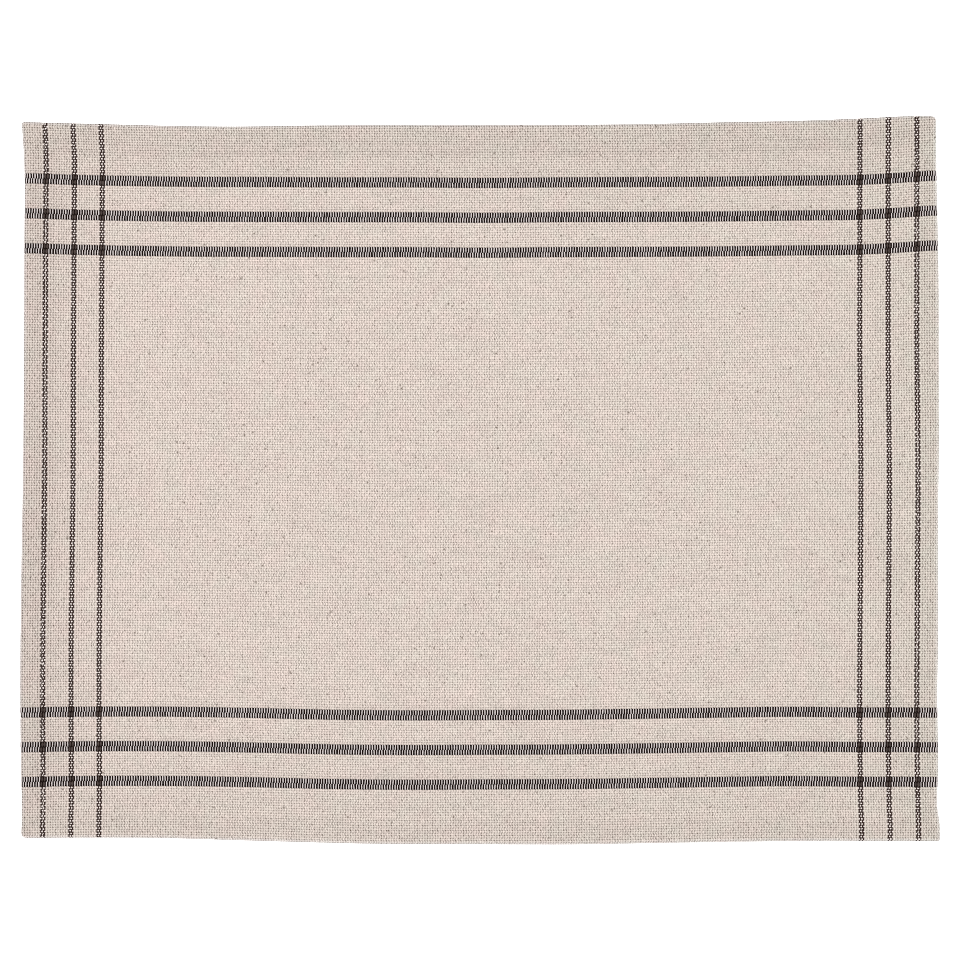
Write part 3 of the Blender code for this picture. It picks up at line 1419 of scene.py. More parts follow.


@dataclass(frozen=True)
class PaintedHemShading:
    """The hems' painted shade, the rims' painted shade and light, and their tint, as attributes of the
    cloth's mesh.
    """

    # how the painted shade falls off with the inset
    fall: tuple[Stop, ...] = (
        Stop(0.0, 1.1), Stop(0.8, 1.0), Stop(10.0, 1.0), Stop(12.5, 0.65),
        Stop(19.0, 0.48), Stop(33.0, 0.24), Stop(52.0, 0.05), Stop(75.0, 0.0),
    )
    left: HemLook = HemLook(shade=1.25, cool=0.0, shaded_rim=0.5, lit_rim=0.0)
    right: HemLook = HemLook(shade=0.86, cool=1.0, shaded_rim=0.0, lit_rim=2.1)
    bottom: HemLook = HemLook(shade=0.72, cool=0.35, shaded_rim=0.0, lit_rim=1.6)
    top: HemLook = HemLook(shade=1.0, cool=0.35, shaded_rim=2.8, lit_rim=0.0)
    crossed: float = 0.4  # what the lesser of two crossing hems adds to the painted shade
    upper_from: float = 0.6  # the height in millimetres from which the rim counts as above
    lit_width: float = 2.3  # width in millimetres of the rim's painted light
    shaded_width: float = 1.1  # width of its painted shade
    cool_tint: Colour = (-0.011, 0.022, 0.011)  # what a cool hem adds to red, green and blue
    lit_rim_tint: Colour = (-0.045, 0.0, 0.055)  # what the rim adds to them
    # what the rim's painted light adds to them
    right_tint: Colour = (-0.0045, 0.0045, 0.0)

    def add_to(self, piece: bpy.types.Object, surface: ClothSurface) -> None:
        """Adds the attributes.

        Args:
            piece: The cloth.
            surface: The mat's shape.
        """
        co = np.zeros(len(piece.data.vertices) * 3, np.float32)
        piece.data.vertices.foreach_get("co", co)
        x, y, z = co.reshape(-1, 3).astype(float).T
        side, end = surface.insets(x, y)
        # painted shade: darker hems, fading inwards, and darker still where two hems cross
        inset, share = zip(*self.fall)
        from_side, from_end = np.interp(side / MM, inset, share), np.interp(end / MM, inset, share)
        side_look = HemLook(*np.where(x > 0, np.array([self.right]).T, np.array([self.left]).T))
        end_look = HemLook(*np.where(y > 0, np.array([self.top]).T, np.array([self.bottom]).T))
        cool = np.maximum(from_side * side_look.cool, from_end * end_look.cool)
        from_side, from_end = from_side * side_look.shade, from_end * end_look.shade
        shade = np.maximum(from_side, from_end) + self.crossed * np.minimum(from_side, from_end)
        # painted shade on the very rim, and painted light on its rounding, both on the upper side only
        shaded_rim = np.where(side < end, side_look.shaded_rim, end_look.shaded_rim)
        lit_rim = np.where(side < end, side_look.lit_rim, end_look.lit_rim)
        above, edge = smooth_step(z / MM - self.upper_from), np.minimum(side, end) / MM
        rim = above * (1 - smooth_step(edge / self.lit_width))
        shade = shade + shaded_rim * above * (1 - smooth_step(edge / self.shaded_width)) - lit_rim * rim
        # tint: cooler hems, the cool colour of the rims' painted light, and a slight shift from left to right
        tint = np.ones((len(x), 4))
        tint[:, :3] += np.outer(cool, self.cool_tint) + np.outer(rim, self.lit_rim_tint)
        tint[:, :3] += np.outer(x / surface.outline.half_width, self.right_tint)
        made = piece.data.attributes.new("hem_tint", "FLOAT_COLOR", "POINT")
        made.data.foreach_set("color", tint.astype(np.float32).ravel())
        # painted shade, with painted light where it is below 0
        made = piece.data.attributes.new("hem_shade", "FLOAT", "POINT")
        made.data.foreach_set("value", shade.astype(np.float32))


@dataclass
class GroundCloth:
    """The ground cloth: field, hems turned under, and grooves in which the dark yarns lie."""

    surface: ClothSurface
    weave: EcruWeave = EcruWeave()  # its finish
    shade: PaintedHemShading = PaintedHemShading()  # the painted shade of its hems and the painted shade and light of its rims
    groove: float = 0.00033  # how deep the dark yarns' grooves are
    # between which distances from a dark line's middle its groove rises, in pairs
    line_edge: tuple[float, float] = (0.86, 1.10)
    band_edge: tuple[float, float] = (0.93, 1.25)  # the same for a dark band, in picks
    rim_facets: int = 8  # facets round the rim
    under_shift: float = 20.0  # tiles by which the lower side's map lies apart from the upper side's
    # angles in degrees of the mesh lines round the turned-in cloth's inner fold
    fold_turns: tuple[float, ...] = (0, 40, 80, 120, 150)
    # how far before the inner fold's end the steps up to the field lie
    fold_steps: tuple[float, float] = (0.0003, 0.0001)
    slope_start: float = 0.0004  # how far past it the mesh lines on the hem's slope start
    slope_end: float = 1.05  # how far down the last of them lies, as a share of the slope
    fewest: int = 3  # the fewest mesh lines on the slope, and on the flap before the fold
    under_columns: int = 14  # columns near each side edge that the lower side has more than the upper one
    corner_blend: float = 0.006  # way over which the lower side goes from an end hem's lines to a side hem's
    flap_rise: float = 0.95  # how far an end hem lifts the side hem that crosses it, as a share of a layer
    # the mesh's lines along the mat
    columns: GridLines = GridLines(
        insets=tuple(v * MM for v in (0, 0.9, 1.75, 2.6, 3.7, 5.0, 6.4)),
        counts=tuple(line_steps(WARP_LINES, edge=(0.35, 0.85, 1.05, 1.35), between=5, across_field=132)),
    )
    # its lines across it
    rows: GridLines = GridLines(
        insets=tuple(v * MM for v in (
            0, 0.9, 1.75, 2.6, 4.2, 6.0, 7.8, 9.2, 10.0, 10.6, 11.2, 12.0, 12.9, 14.0, 15.5, 18.0, 20.5,
        )),
        counts=tuple(line_steps(WEFT_BANDS, edge=(0.45, 0.93, 1.05, 1.40), between=5, across_field=84)),
    )

    def actual(self, lines: GridLines) -> GridLines:
        """The lines as they lie on the upper side, which starts at the rim and not at the edge.

        Args:
            lines: The lines by their insets from the edge.

        Returns:
            The same lines, those near the edge moved in.
        """
        rim, corner = self.surface.rim, self.surface.corner_radius
        squeeze = (corner - rim) / corner
        return GridLines(tuple(rim + v * squeeze if v < corner else v for v in lines.insets), lines.counts)

    def grid(self) -> tuple[Floats, Floats]:
        """The places of the upper side's grid.

        Returns:
            Their x and y, a row for each line of columns.
        """
        surface, plan, outline = self.surface, self.surface.plan, self.surface.outline
        columns, rows = self.actual(self.columns), self.actual(self.rows)
        x0 = columns.nominal(outline.half_width, plan.pairs)
        y0 = rows.nominal(outline.half_height, plan.picks)
        pair = np.array(columns.counts)[:, None]
        pick = np.array(rows.counts)[:, None]
        x_between = plan.pairs.nominal(pair) + plan.pairs.stray(pair, y0[None])
        y_between = plan.picks.nominal(pick) + plan.picks.stray(pick, x0[None])
        x = columns.places(outline.left_at(y0), outline.right_at(y0), x_between)
        y = rows.places(outline.bottom_at(x0), outline.top_at(x0), y_between).T
        return x, y

    def outer_ways(self, i: Ints, j: Ints, x: Floats, y: Floats) -> tuple[Floats, Floats]:
        """For each outer vertex, the middle of its corner's or edge's rounding and the way out from it.

        Args:
            i: Columns of the outer vertices.
            j: Their rows.
            x: The grid's places along the mat.
            y: The grid's places across it.

        Returns:
            The core points and the unit directions out of them.
        """
        outline, widest = self.surface.outline, self.surface.corner_radius
        inset_x, inset_y = np.array(self.columns.insets), np.array(self.rows.insets)
        gx, gy = x[i, j], y[i, j]
        radius = self.surface.radius_at(gx, gy)
        left, right = outline.left_at(gy), outline.right_at(gy)
        bottom, top = outline.bottom_at(gx), outline.top_at(gx)
        across, up = x.shape
        sharp_x, sharp_y = gx.copy(), gy.copy()
        for k, inset in enumerate(inset_x[inset_x < widest]):
            sharp_x = np.where(i == k, left + inset, sharp_x)
            sharp_x = np.where(i == across - 1 - k, right - inset, sharp_x)
        for k, inset in enumerate(inset_y[inset_y < widest]):
            sharp_y = np.where(j == k, bottom + inset, sharp_y)
            sharp_y = np.where(j == up - 1 - k, top - inset, sharp_y)
        core_x = np.clip(sharp_x, left + radius, right - radius)
        core_y = np.clip(sharp_y, bottom + radius, top - radius)
        core = np.stack([core_x, core_y], axis=-1)
        return core, unit(np.stack([sharp_x, sharp_y], axis=-1) - core)

    def grooves(self, pair: Floats, pick: Floats) -> tuple[Floats, Floats]:
        """How deep the dark lines' grooves and the dark bands' are at counts, as shares."""
        return near_warp_line(pair, *self.line_edge), near_weft_band(pick, *self.band_edge)

    def tiles(self, x: Floats, y: Floats, shift: float = 0.0) -> Floats:
        """Places on the map of unrolled places.

        Args:
            x: Unrolled places along the mat.
            y: Unrolled places across it.
            shift: Tiles to move by.

        Returns:
            The places on the map.
        """
        pairs, picks = self.weave.tile_pairs, self.weave.tile_picks
        pair, pick = self.surface.plan.count(x, y)
        first_pair = (WARP_LINES[2] + WARP_LINES[3] - pairs) // 2
        u = (pair - first_pair) / pairs + shift
        return np.stack([u, (pick + picks // 2) / picks], axis=-1)

    def build(self) -> bpy.types.Object:
        """Builds the cloth.

        Returns:
            The piece.
        """
        surface = self.surface
        parts = MeshParts()
        x, y = self.grid()
        across, up = x.shape
        i, j = outer_places(across, up)
        core, way = self.outer_ways(i, j, x, y)
        radius = surface.radius_at(x[i, j], y[i, j])
        rolled = core + way * (radius - surface.rim)[:, None]
        x[i, j], y[i, j] = rolled[:, 0], rolled[:, 1]
        height = surface.upper(x, y)
        groove = self.groove * np.maximum(*self.grooves(*surface.plan.count(x, y)))
        first = parts.add_places(np.stack([x, y, height - groove], axis=-1))
        number = np.arange(across * up).reshape(across, up)
        quads = np.stack([number[:-1, :-1], number[1:, :-1], number[1:, 1:], number[:-1, 1:]], axis=-1)
        quads = quads.reshape(-1, 4)
        tiles = self.tiles(x, y).reshape(-1, 2)
        parts.add_faces(first + quads, tiles[quads])

        dip, roll = groove[i, j], (height[i, j] - surface.rest) / 2
        ring, ring_uv = first + number[i, j], tiles[number[i, j]]
        loop = np.arange(len(i))
        after = (loop + 1) % len(loop)
        for facet in range(1, self.rim_facets + 1):
            turn = math.pi * facet / self.rim_facets
            out = radius - surface.rim * (1 - math.sin(turn)) - dip * math.sin(turn)
            z = surface.rest + roll * (1 + math.cos(turn)) - dip * math.cos(turn)
            made = parts.add_places(np.column_stack([core + way * out[:, None], z])) + loop
            made_uv = self.tiles(*(rolled + way * (turn * surface.rim)).T)
            parts.add_faces(
                np.stack([ring[loop], made[loop], made[after], ring[after]], axis=-1),
                np.stack([ring_uv[loop], made_uv[loop], made_uv[after], ring_uv[after]], axis=1),
            )
            ring, ring_uv = made, made_uv
        self.add_underside(parts, x, y, ring)
        piece = parts.piece("placemat_cloth", self.weave.dress())
        self.shade.add_to(piece, surface)
        return piece

    def under_profile(self, insets: Sequence[float], count: int) -> tuple[Floats, Floats]:
        """The turned-in cloth's lower side in section: its lines' insets and how far each is lifted.

        Args:
            insets: The upper side's lines nearest the edge, whose first ones it keeps.
            count: How many lines it has.

        Returns:
            The insets, and the lifts from 0 on the hem's lower side to 1 on the field's.
        """
        surface = self.surface
        fold, radius = surface.inner_fold, surface.inner_roll
        turns = np.radians(self.fold_turns)
        roll = fold - radius + radius * np.sin(turns)
        kept = [v for v in insets if v <= surface.corner_radius + ROUNDING]
        room = count - len(kept) - len(roll) - len(self.fold_steps)
        slope = max(self.fewest, room - self.fewest)
        flap = np.linspace(kept[-1], roll[0], room - slope + 2)[1:-1]
        slopes = fold + np.linspace(self.slope_start, surface.hem_slope * self.slope_end, slope)
        steps = [fold - before for before in self.fold_steps]
        on_flap, on_field = np.zeros(len(kept) + len(flap)), np.ones(len(steps) + slope)
        places = np.concatenate([kept, flap, roll, steps, slopes])
        return places, np.concatenate([on_flap, (1 - np.cos(turns)) / 2, on_field])

    def add_underside(self, parts: MeshParts, x: Floats, y: Floats, ring: Ints) -> None:
        """Adds the lower side: the turned-in hems with their inner folds, and the field between them.

        Args:
            parts: The mesh.
            x: The upper side's places along the mat.
            y: The upper side's places across it.
            ring: The rim's last ring of vertices.
        """
        surface, outline = self.surface, self.surface.outline
        across, up = x.shape
        side_lines, end_lines = len(self.columns.insets) + self.under_columns, len(self.rows.insets)
        column_insets, column_lifts = self.under_profile(self.actual(self.columns).insets, side_lines)
        row_insets, row_lifts = self.under_profile(self.actual(self.rows).insets, end_lines)
        x, y = x.copy(), y.copy()
        bottom, top = outline.bottom_at(x), outline.top_at(x)
        inner = slice(1, -1)
        for k, inset in list(enumerate(row_insets))[1:]:
            y[inner, k] = (bottom + inset)[inner, k]
            y[inner, up - 1 - k] = (top - inset)[inner, up - 1 - k]
        _, end = surface.insets(x, y)
        blend = smooth_step((end - surface.inner_fold) / self.corner_blend)
        left, right = outline.left_at(y), outline.right_at(y)
        for k, inset in list(enumerate(column_insets))[1:]:
            low, high = k, across - 1 - k
            x[low, inner] += ((left + inset)[low] - x[low])[inner] * blend[low, inner]
            x[high, inner] += ((right - inset)[high] - x[high])[inner] * blend[high, inner]
        row_lift, column_lift = (
            np.concatenate([lifts, np.ones(count - 2 * len(lifts)), lifts[::-1]])
            for lifts, count in ((row_lifts, up), (column_lifts, across))
        )
        side, end = surface.insets(x, y)
        z = self.under_heights(x, y, blend, row_lift, column_lift)

        i, j = outer_places(across, up)
        first = parts.add_places(np.stack([x, y, z], axis=-1)[1:-1, 1:-1])
        number = np.zeros((across, up), int)
        number[1:-1, 1:-1] = first + np.arange((across - 2) * (up - 2)).reshape(across - 2, up - 2)
        number[i, j] = ring
        quads = np.stack([number[:-1, :-1], number[:-1, 1:], number[1:, 1:], number[1:, :-1]], axis=-1)
        maps = self.under_maps(x, y, z - surface.rest, side, end)
        column, row = np.meshgrid(np.arange(across - 1), np.arange(up - 1), indexing="ij")
        on_end = np.minimum(row_lift[row], row_lift[row + 1]) < 1.0
        by_column = np.minimum(column_lift[column], column_lift[column + 1]) < 1.0
        by_inset = (side[column, row] + side[column + 1, row]) / 2 < surface.inner_fold
        on_side = np.where(blend[column, row] > 0.5, by_column, by_inset)
        which = np.where(on_end, 0, np.where(on_side, 1, 2))
        corners = ((column, row), (column, row + 1), (column + 1, row + 1), (column + 1, row))
        uv = np.stack([maps[which, a, b] for a, b in corners], axis=-2)
        parts.add_faces(quads.reshape(-1, 4), uv.reshape(-1, 4, 2))

    def under_heights(
        self, x: Floats, y: Floats, blend: Floats, row_lift: Floats, column_lift: Floats
    ) -> Floats:
        """The lower side's heights.

        Args:
            x: Places along the mat.
            y: Places across it.
            blend: How far each place follows its column's lift, and not its own inset.
            row_lift: How far each row is lifted from the hem's lower side to the field's.
            column_lift: How far each column is.

        Returns:
            The height at each place.
        """
        surface = self.surface
        side, end = surface.insets(x, y)
        field_height = surface.lower(x, y)
        under_end = 1 - smooth_step((end - surface.inner_fold) / surface.hem_slope)
        flap = surface.rest + surface.layer * self.flap_rise * under_end
        step = smooth_step((side - surface.inner_fold + FOLD_STEP / 2) / FOLD_STEP)
        by_inset = flap + (field_height - flap) * step
        by_column = flap + (field_height - flap) * column_lift[:, None]
        z = by_inset + (by_column - by_inset) * blend
        z = surface.rest + (z - surface.rest) * row_lift[None]
        line, band = self.grooves(*surface.plan.count(x, y))
        on_end_flap = np.broadcast_to(row_lift[None] < 0.5, z.shape)
        on_side_flap = ~on_end_flap & (side < surface.inner_fold - surface.inner_roll)
        dip = np.where(on_end_flap, line, np.where(on_side_flap, band, np.maximum(line, band)))
        return z + self.groove * dip

    def under_maps(self, x: Floats, y: Floats, rise: Floats, side: Floats, end: Floats) -> Floats:
        """The lower side's maps: for the end hems, for the side hems, and for the field.

        Args:
            x: Places along the mat.
            y: Places across it.
            rise: Heights over the hem's lower side.
            side: Insets from the side edges.
            end: Insets from the end edges.

        Returns:
            The three maps.
        """
        round_rim = (math.pi - 2) * self.surface.rim + rise
        end_y = y + np.sign(y) * (2 * end + round_rim)
        side_x = x + np.sign(x) * (2 * side + round_rim)
        return np.stack([self.tiles(x, end_y), self.tiles(side_x, y), self.tiles(x, y, self.under_shift)])


# ---- The dark border yarns and what crosses them ----


class DarkEnd(NamedTuple):
    """A dark end of a warp line: its place from the line's middle, in pairs, and if odd rows have it up."""

    place: float
    up_on: int


LINE_ENDS = (DarkEnd(-0.69, 1), DarkEnd(-0.33, 0), DarkEnd(0.37, 1), DarkEnd(0.75, 0))
PICKS_A_BAND = 2
FOLD_GAP = 0.0006  # what crosses a dark yarn on the underside keeps this far from a hem's inner fold


@dataclass
class WarpLines:
    """The six dark lines along the sides, each of two reed pairs of dark warp."""

    surface: ClothSurface
    yarn: Yarn = Yarn(half_width=0.00038, half_height=0.00021)  # the dark end
    depth: float = 0.00037  # how far below the surface the ends' middle lies
    sway: float = 0.00015  # how far the ends rise and dip

    def build(self) -> list[bpy.types.Object]:
        """Builds the lines.

        Returns:
            A piece for each line.
        """
        finish = DarkYarn(
            "dark_warp", dark=(0.033, 0.0187, 0.0160), worn=(0.130, 0.088, 0.077), lanes=len(LINE_ENDS)
        ).dress()
        pieces = []
        for number, line in enumerate(WARP_LINES):
            parts = MeshParts()
            for lane, end in enumerate(LINE_ENDS):
                spots, lift = self.way(line + end.place, end.up_on)
                self.yarn.add_to(parts, spots, lift, lane, len(LINE_ENDS))
            pieces.append(parts.piece(f"dark_warp_line_{number + 1}", finish))
        return pieces

    def way(self, pair: float, up_on: int) -> tuple[Spots, Floats]:
        """The way of one end.

        Args:
            pair: Its place in the plan.
            up_on: Which rows it is up on, 0 for the even ones or 1.

        Returns:
            The places on the cloth, and how far out of it the end's middle is.
        """
        pick = np.arange(*PICK_RANGE, 0.5)
        x, y = self.surface.plan.place(np.full_like(pick, pair), pick)
        shows = self.surface.shows(Course.WARP, x, y)
        pick, x, y = pick[shows], x[shows], y[shows]
        rise = np.cos(math.pi * (pick - 0.5 - up_on)) * self.sway
        return self.surface.spots(Course.WARP, x, y), rise - self.depth


@dataclass
class WeftBands:
    """The six dark bands along the ends, each of two thick picks of dark weft."""

    surface: ClothSurface
    yarn: Yarn = Yarn(half_width=0.00125, half_height=0.00024, section=FLAT_SECTION)  # the thick dark pick
    depth: float = 0.00039  # how far below the surface the picks' middle lies
    sway: float = 0.00003  # how far the picks rise and dip

    def build(self) -> list[bpy.types.Object]:
        """Builds the bands.

        Returns:
            A piece for each band.
        """
        finish = DarkYarn(
            "dark_weft", dark=(0.0052, 0.0018, 0.0010), worn=(0.066, 0.038, 0.031), lanes=PICKS_A_BAND,
            worn_share=0.3,
        ).dress()
        pieces = []
        for number, band in enumerate(WEFT_BANDS):
            parts = MeshParts()
            for lane, row in enumerate((band - 0.5, band + 0.5)):
                spots, lift = self.way(row)
                self.yarn.add_to(parts, spots, lift, lane, PICKS_A_BAND)
            pieces.append(parts.piece(f"dark_weft_band_{number + 1}", finish))
        return pieces

    def way(self, pick: float) -> tuple[Spots, Floats]:
        """The way of one pick.

        Args:
            pick: Its place in the plan.

        Returns:
            The places on the cloth, and how far out of it the pick's middle is.
        """
        pair = np.arange(*PAIR_RANGE, 0.5)
        x, y = self.surface.plan.place(pair, np.full_like(pair, pick))
        shows = self.surface.shows(Course.WEFT, x, y)
        pair, x, y = pair[shows], x[shows], y[shows]
        rise = np.cos(2 * math.pi * pair) * self.sway
        return self.surface.spots(Course.WEFT, x, y), rise - self.depth


class Dye(Enum):
    """Which warp ends cross a band."""

    ECRU = "light"
    DARK = "dark"


class Lean(NamedTuple):
    """A place along the mat in millimetres, and how the crossings lean there."""

    along: float
    angle: float


@dataclass
class BandCrossings:
    """The warp ends where they pass over the dark weft: one of each pair over each thick pick."""

    surface: ClothSurface
    # one light crossing
    model: Crossing = Crossing(
        half_length=0.00130, half_width=0.00030, half_height=0.00026, bluntness=1.22, fullness=1.25
    )
    # one dark crossing, in a corner's crossing square
    dark_model: Crossing = Crossing(half_length=0.00115, half_width=0.00056, half_height=0.00024)
    lift: float = -0.00014  # how far out of the surface a crossing's middle is
    place: float = 0.162  # how far from its pair's middle an end lies, in pairs
    # how the crossings lean
    leans: tuple[Lean, ...] = (Lean(-225, 0.03), Lean(-200, 0.0), Lean(200, 0.0), Lean(225, 0.03))
    # between which distances from a dark line's middle its ends stop, in pairs
    dark_reach: tuple[float, float] = (0.6, 0.7)
    place_spread: float = 0.022  # how far the places vary, in pairs
    lean_spread: float = 0.035  # how far the leans vary
    # how far the length, width and thickness vary, as shares
    stretch_spread: tuple[float, float, float] = (0.03, 0.13, 0.08)
    widths: tuple[float, float] = (0.6, 1.3)  # the least and greatest width, as shares of the model's

    def build(self, side: Side, dye: Dye, rng: np.random.Generator) -> bpy.types.Object:
        """Builds the crossings of one side of the cloth.

        Args:
            side: The side.
            dye: Which ends.
            rng: Where their unevenness comes from.

        Returns:
            The piece.
        """
        surface = self.surface
        pair, pick = self.counts(side, dye)
        pair = pair + rng.normal(0.0, self.place_spread, len(pair))
        x, y = surface.plan.place(pair, pick)
        shows = surface.shows(Course.WEFT, x, y)
        if side is Side.UNDER:
            inset, _ = surface.insets(x, y)
            shows &= inset > surface.inner_fold + FOLD_GAP
        x, y = x[shows], y[shows]
        count = len(x)
        lean = np.interp(x / MM, *zip(*self.leans))
        lean = side.value * lean + rng.normal(0.0, self.lean_spread, count)
        spots = surface.spots(Course.WEFT, x, y, side).crosswise().turned(-lean)
        length, width, thickness = (rng.normal(1.0, spread, count) for spread in self.stretch_spread)
        stretch = np.stack([length, width.clip(*self.widths), thickness], axis=-1)
        parts = MeshParts()
        model = self.dark_model if dye is Dye.DARK else self.model
        model.copy_to(parts, spots, np.full(count, self.lift), stretch)
        if dye is Dye.DARK:
            finish = CottonYarn(
                "dark_warp_crossing", light=(0.090, 0.064, 0.056), shade=(0.034, 0.023, 0.020), sheen=0.02
            )
        else:
            finish = CottonYarn(
                "ecru_warp_crossing", light=(0.745, 0.682, 0.666), shade=(0.545, 0.488, 0.476)
            )
        return parts.piece(f"{dye.value}_band_crossings_{side.name.lower()}", finish.dress())

    def counts(self, side: Side, dye: Dye) -> tuple[Floats, Floats]:
        """The counts at which ends cross the bands.

        Args:
            side: The side of the cloth.
            dye: Which ends.

        Returns:
            Their pairs and picks.
        """
        pairs, picks = [], []
        for band in WEFT_BANDS:
            for row, sign in ((band - 1, -1), (band, 1)):
                pair = np.arange(*PAIR_RANGE) + 0.5 + side.value * sign * self.place
                pairs.append(pair)
                picks.append(np.full_like(pair, row + 0.5))
        pair, pick = np.concatenate(pairs), np.concatenate(picks)
        dark = near_warp_line(np.floor(pair) + 0.5, *self.dark_reach) > 0.5
        wanted = dark if dye is Dye.DARK else ~dark
        return pair[wanted], pick[wanted]


class Spread(NamedTuple):
    """How far something varies: along any line, and what is added along the most uneven one."""

    even: float
    uneven: float

    def at(self, unevenness: Floats) -> Floats:
        """How far it varies at an unevenness from 0 to 1."""
        return self.even + self.uneven * unevenness


@dataclass
class LineCrossings:
    """The light weft where it passes over the dark warp, as rows of dots."""

    surface: ClothSurface
    # one dot
    model: Crossing = Crossing(half_length=0.00045, half_width=0.00038, half_height=0.00025, segments=6)
    lift: float = -0.00010  # how far out of the surface a dot's middle is
    # where dots lie in even rows, in pairs from the line's middle
    even_places: tuple[float, float] = (-0.84, 0.18)
    odd_places: tuple[float, float] = (-0.17, 0.94)  # where they lie in odd rows
    unevenness: tuple[float, ...] = (1.0, 0.15, 0.15, 0.15, 0.3, 1.0)  # how uneven the dots of each line are
    # between which distances from a dark band's middle there are no dots, in picks
    band_reach: tuple[float, float] = (0.9, 1.1)
    pair_spread: Spread = Spread(0.025, 0.05)  # how far the dots stray, in pairs
    pick_spread: Spread = Spread(0.035, 0.05)  # how far they stray in picks
    lean: float = 0.4  # how far the dots of the most uneven line lean
    lean_spread: Spread = Spread(0.1, 0.3)  # how far the leans vary
    stretch_spread: Spread = Spread(0.08, 0.09)  # how far their sizes vary, as shares
    stretches: tuple[float, float] = (0.6, 1.4)  # the least and greatest size, as shares of the model's

    def build(self, side: Side, rng: np.random.Generator) -> bpy.types.Object:
        """Builds the dots of one side of the cloth.

        Args:
            side: The side.
            rng: Where their unevenness comes from.

        Returns:
            The piece.
        """
        surface = self.surface
        pair, pick, wild = self.counts(side)
        pair = pair + rng.normal(0.0, self.pair_spread.at(wild))
        pick = pick + rng.normal(0.0, self.pick_spread.at(wild))
        x, y = surface.plan.place(pair, pick)
        shows = surface.shows(Course.WARP, x, y)
        if side is Side.UNDER:
            shows &= np.minimum(*surface.insets(x, y)) > surface.inner_fold + FOLD_GAP
        x, y, wild = x[shows], y[shows], wild[shows]
        count = len(x)
        lean = rng.normal(0.0, self.lean_spread.at(wild)) + self.lean * wild
        spots = surface.spots(Course.WARP, x, y, side).crosswise().turned(lean)
        stretch = rng.normal(1.0, self.stretch_spread.at(wild)[:, None], (count, 3)).clip(*self.stretches)
        parts = MeshParts()
        self.model.copy_to(parts, spots, np.full(count, self.lift), stretch)
        finish = CottonYarn("ecru_weft_crossing", light=(0.92, 0.84, 0.80), shade=(0.76, 0.68, 0.635))
        return parts.piece(f"line_crossings_{side.name.lower()}", finish.dress())

    def counts(self, side: Side) -> tuple[Floats, Floats, Floats]:
        """The counts at which the dots lie.

        Args:
            side: The side of the cloth.

        Returns:
            Their pairs and picks, and how uneven each dot's line is.
        """
        row = np.arange(*PICK_RANGE)
        row = row[near_weft_band(row + 0.5, *self.band_reach) < 0.5]
        dots = []
        for line, unevenness in zip(WARP_LINES, self.unevenness):
            for parity, places in enumerate((self.even_places, self.odd_places)):
                parity = parity if side is Side.UPPER else 1 - parity
                rows = row[row % 2 == parity] + 0.5
                for place in places:
                    dots.append([np.full_like(rows, line + place), rows, np.full_like(rows, unevenness)])
        pair, pick, wild = np.concatenate(dots, axis=1)
        return pair, pick, wild


@dataclass
class HemStitches:
    """The lockstitches along the hems."""

    surface: ClothSurface
    model: Crossing = Crossing(half_length=0.00125, half_width=0.00019, half_height=0.00016)  # one stitch
    pitch: float = 0.0027  # the length of a stitch
    dark_dip: float = 0.00025  # how much lower a stitch lies on a dark line or band
    # between which distances from a dark line's middle it does, in pairs
    line_reach: tuple[float, float] = (0.9, 1.1)
    band_reach: tuple[float, float] = (1.0, 1.3)  # the same for a dark band, in picks
    lift: float = -0.00006  # how far out of the surface a stitch's middle is
    lean: float = 0.05  # how far the stitches lean
    lean_spread: float = 0.04  # how far the leans vary
    stretch_spread: float = 0.05  # how far their sizes vary, as shares
    stretches: tuple[float, float] = (0.85, 1.15)  # the least and greatest size, as shares of the model's

    def build(self, side: Side, rng: np.random.Generator) -> bpy.types.Object:
        """Builds the stitches of one side.

        Args:
            side: The side.
            rng: Where their unevenness comes from.

        Returns:
            The piece.
        """
        surface, outline = self.surface, self.surface.outline
        inset = surface.seam_inset
        run_x = np.arange(-outline.half_width + inset, outline.half_width - inset, self.pitch)
        run_y = np.arange(-outline.half_height + inset, outline.half_height - inset, self.pitch)
        x = np.concatenate([run_x, run_x, outline.left_at(run_y) + inset, outline.right_at(run_y) - inset])
        y = np.concatenate([outline.top_at(run_x) - inset, outline.bottom_at(run_x) + inset, run_y, run_y])
        upright = np.concatenate([np.zeros(2 * len(run_x), bool), np.ones(2 * len(run_y), bool)])
        count = len(x)
        out = surface.slopes(x, y)
        pair, pick = surface.plan.count(x, y)
        dark = np.maximum(near_warp_line(pair, *self.line_reach), near_weft_band(pick, *self.band_reach))
        height = surface.upper(x, y) - dark * self.dark_dip
        if side is Side.UNDER:
            height = np.full(count, surface.rest)
            out = np.tile([0.0, 0.0, -1.0], (count, 1))
        along = np.where(upright[:, None], [0.0, 1.0, 0.0], [1.0, 0.0, 0.0])
        lean = rng.normal(self.lean, self.lean_spread, count)[:, None]
        along = along + lean * np.where(upright[:, None], [1.0, 0.0, 0.0], [0.0, 1.0, 0.0])
        along = unit(along - out * (along * out).sum(-1, keepdims=True))
        spots = Spots(np.column_stack([x, y, height]), along, np.cross(out, along), out)
        stretch = rng.normal(1.0, self.stretch_spread, (count, 3)).clip(*self.stretches)
        parts = MeshParts()
        self.model.copy_to(parts, spots, np.full(count, self.lift), stretch)
        finish = CottonYarn("ecru_thread", light=(0.74, 0.65, 0.59), shade=(0.52, 0.45, 0.40))
        return parts.piece(f"hem_stitches_{side.name.lower()}", finish.dress())


# ---- The studio ----


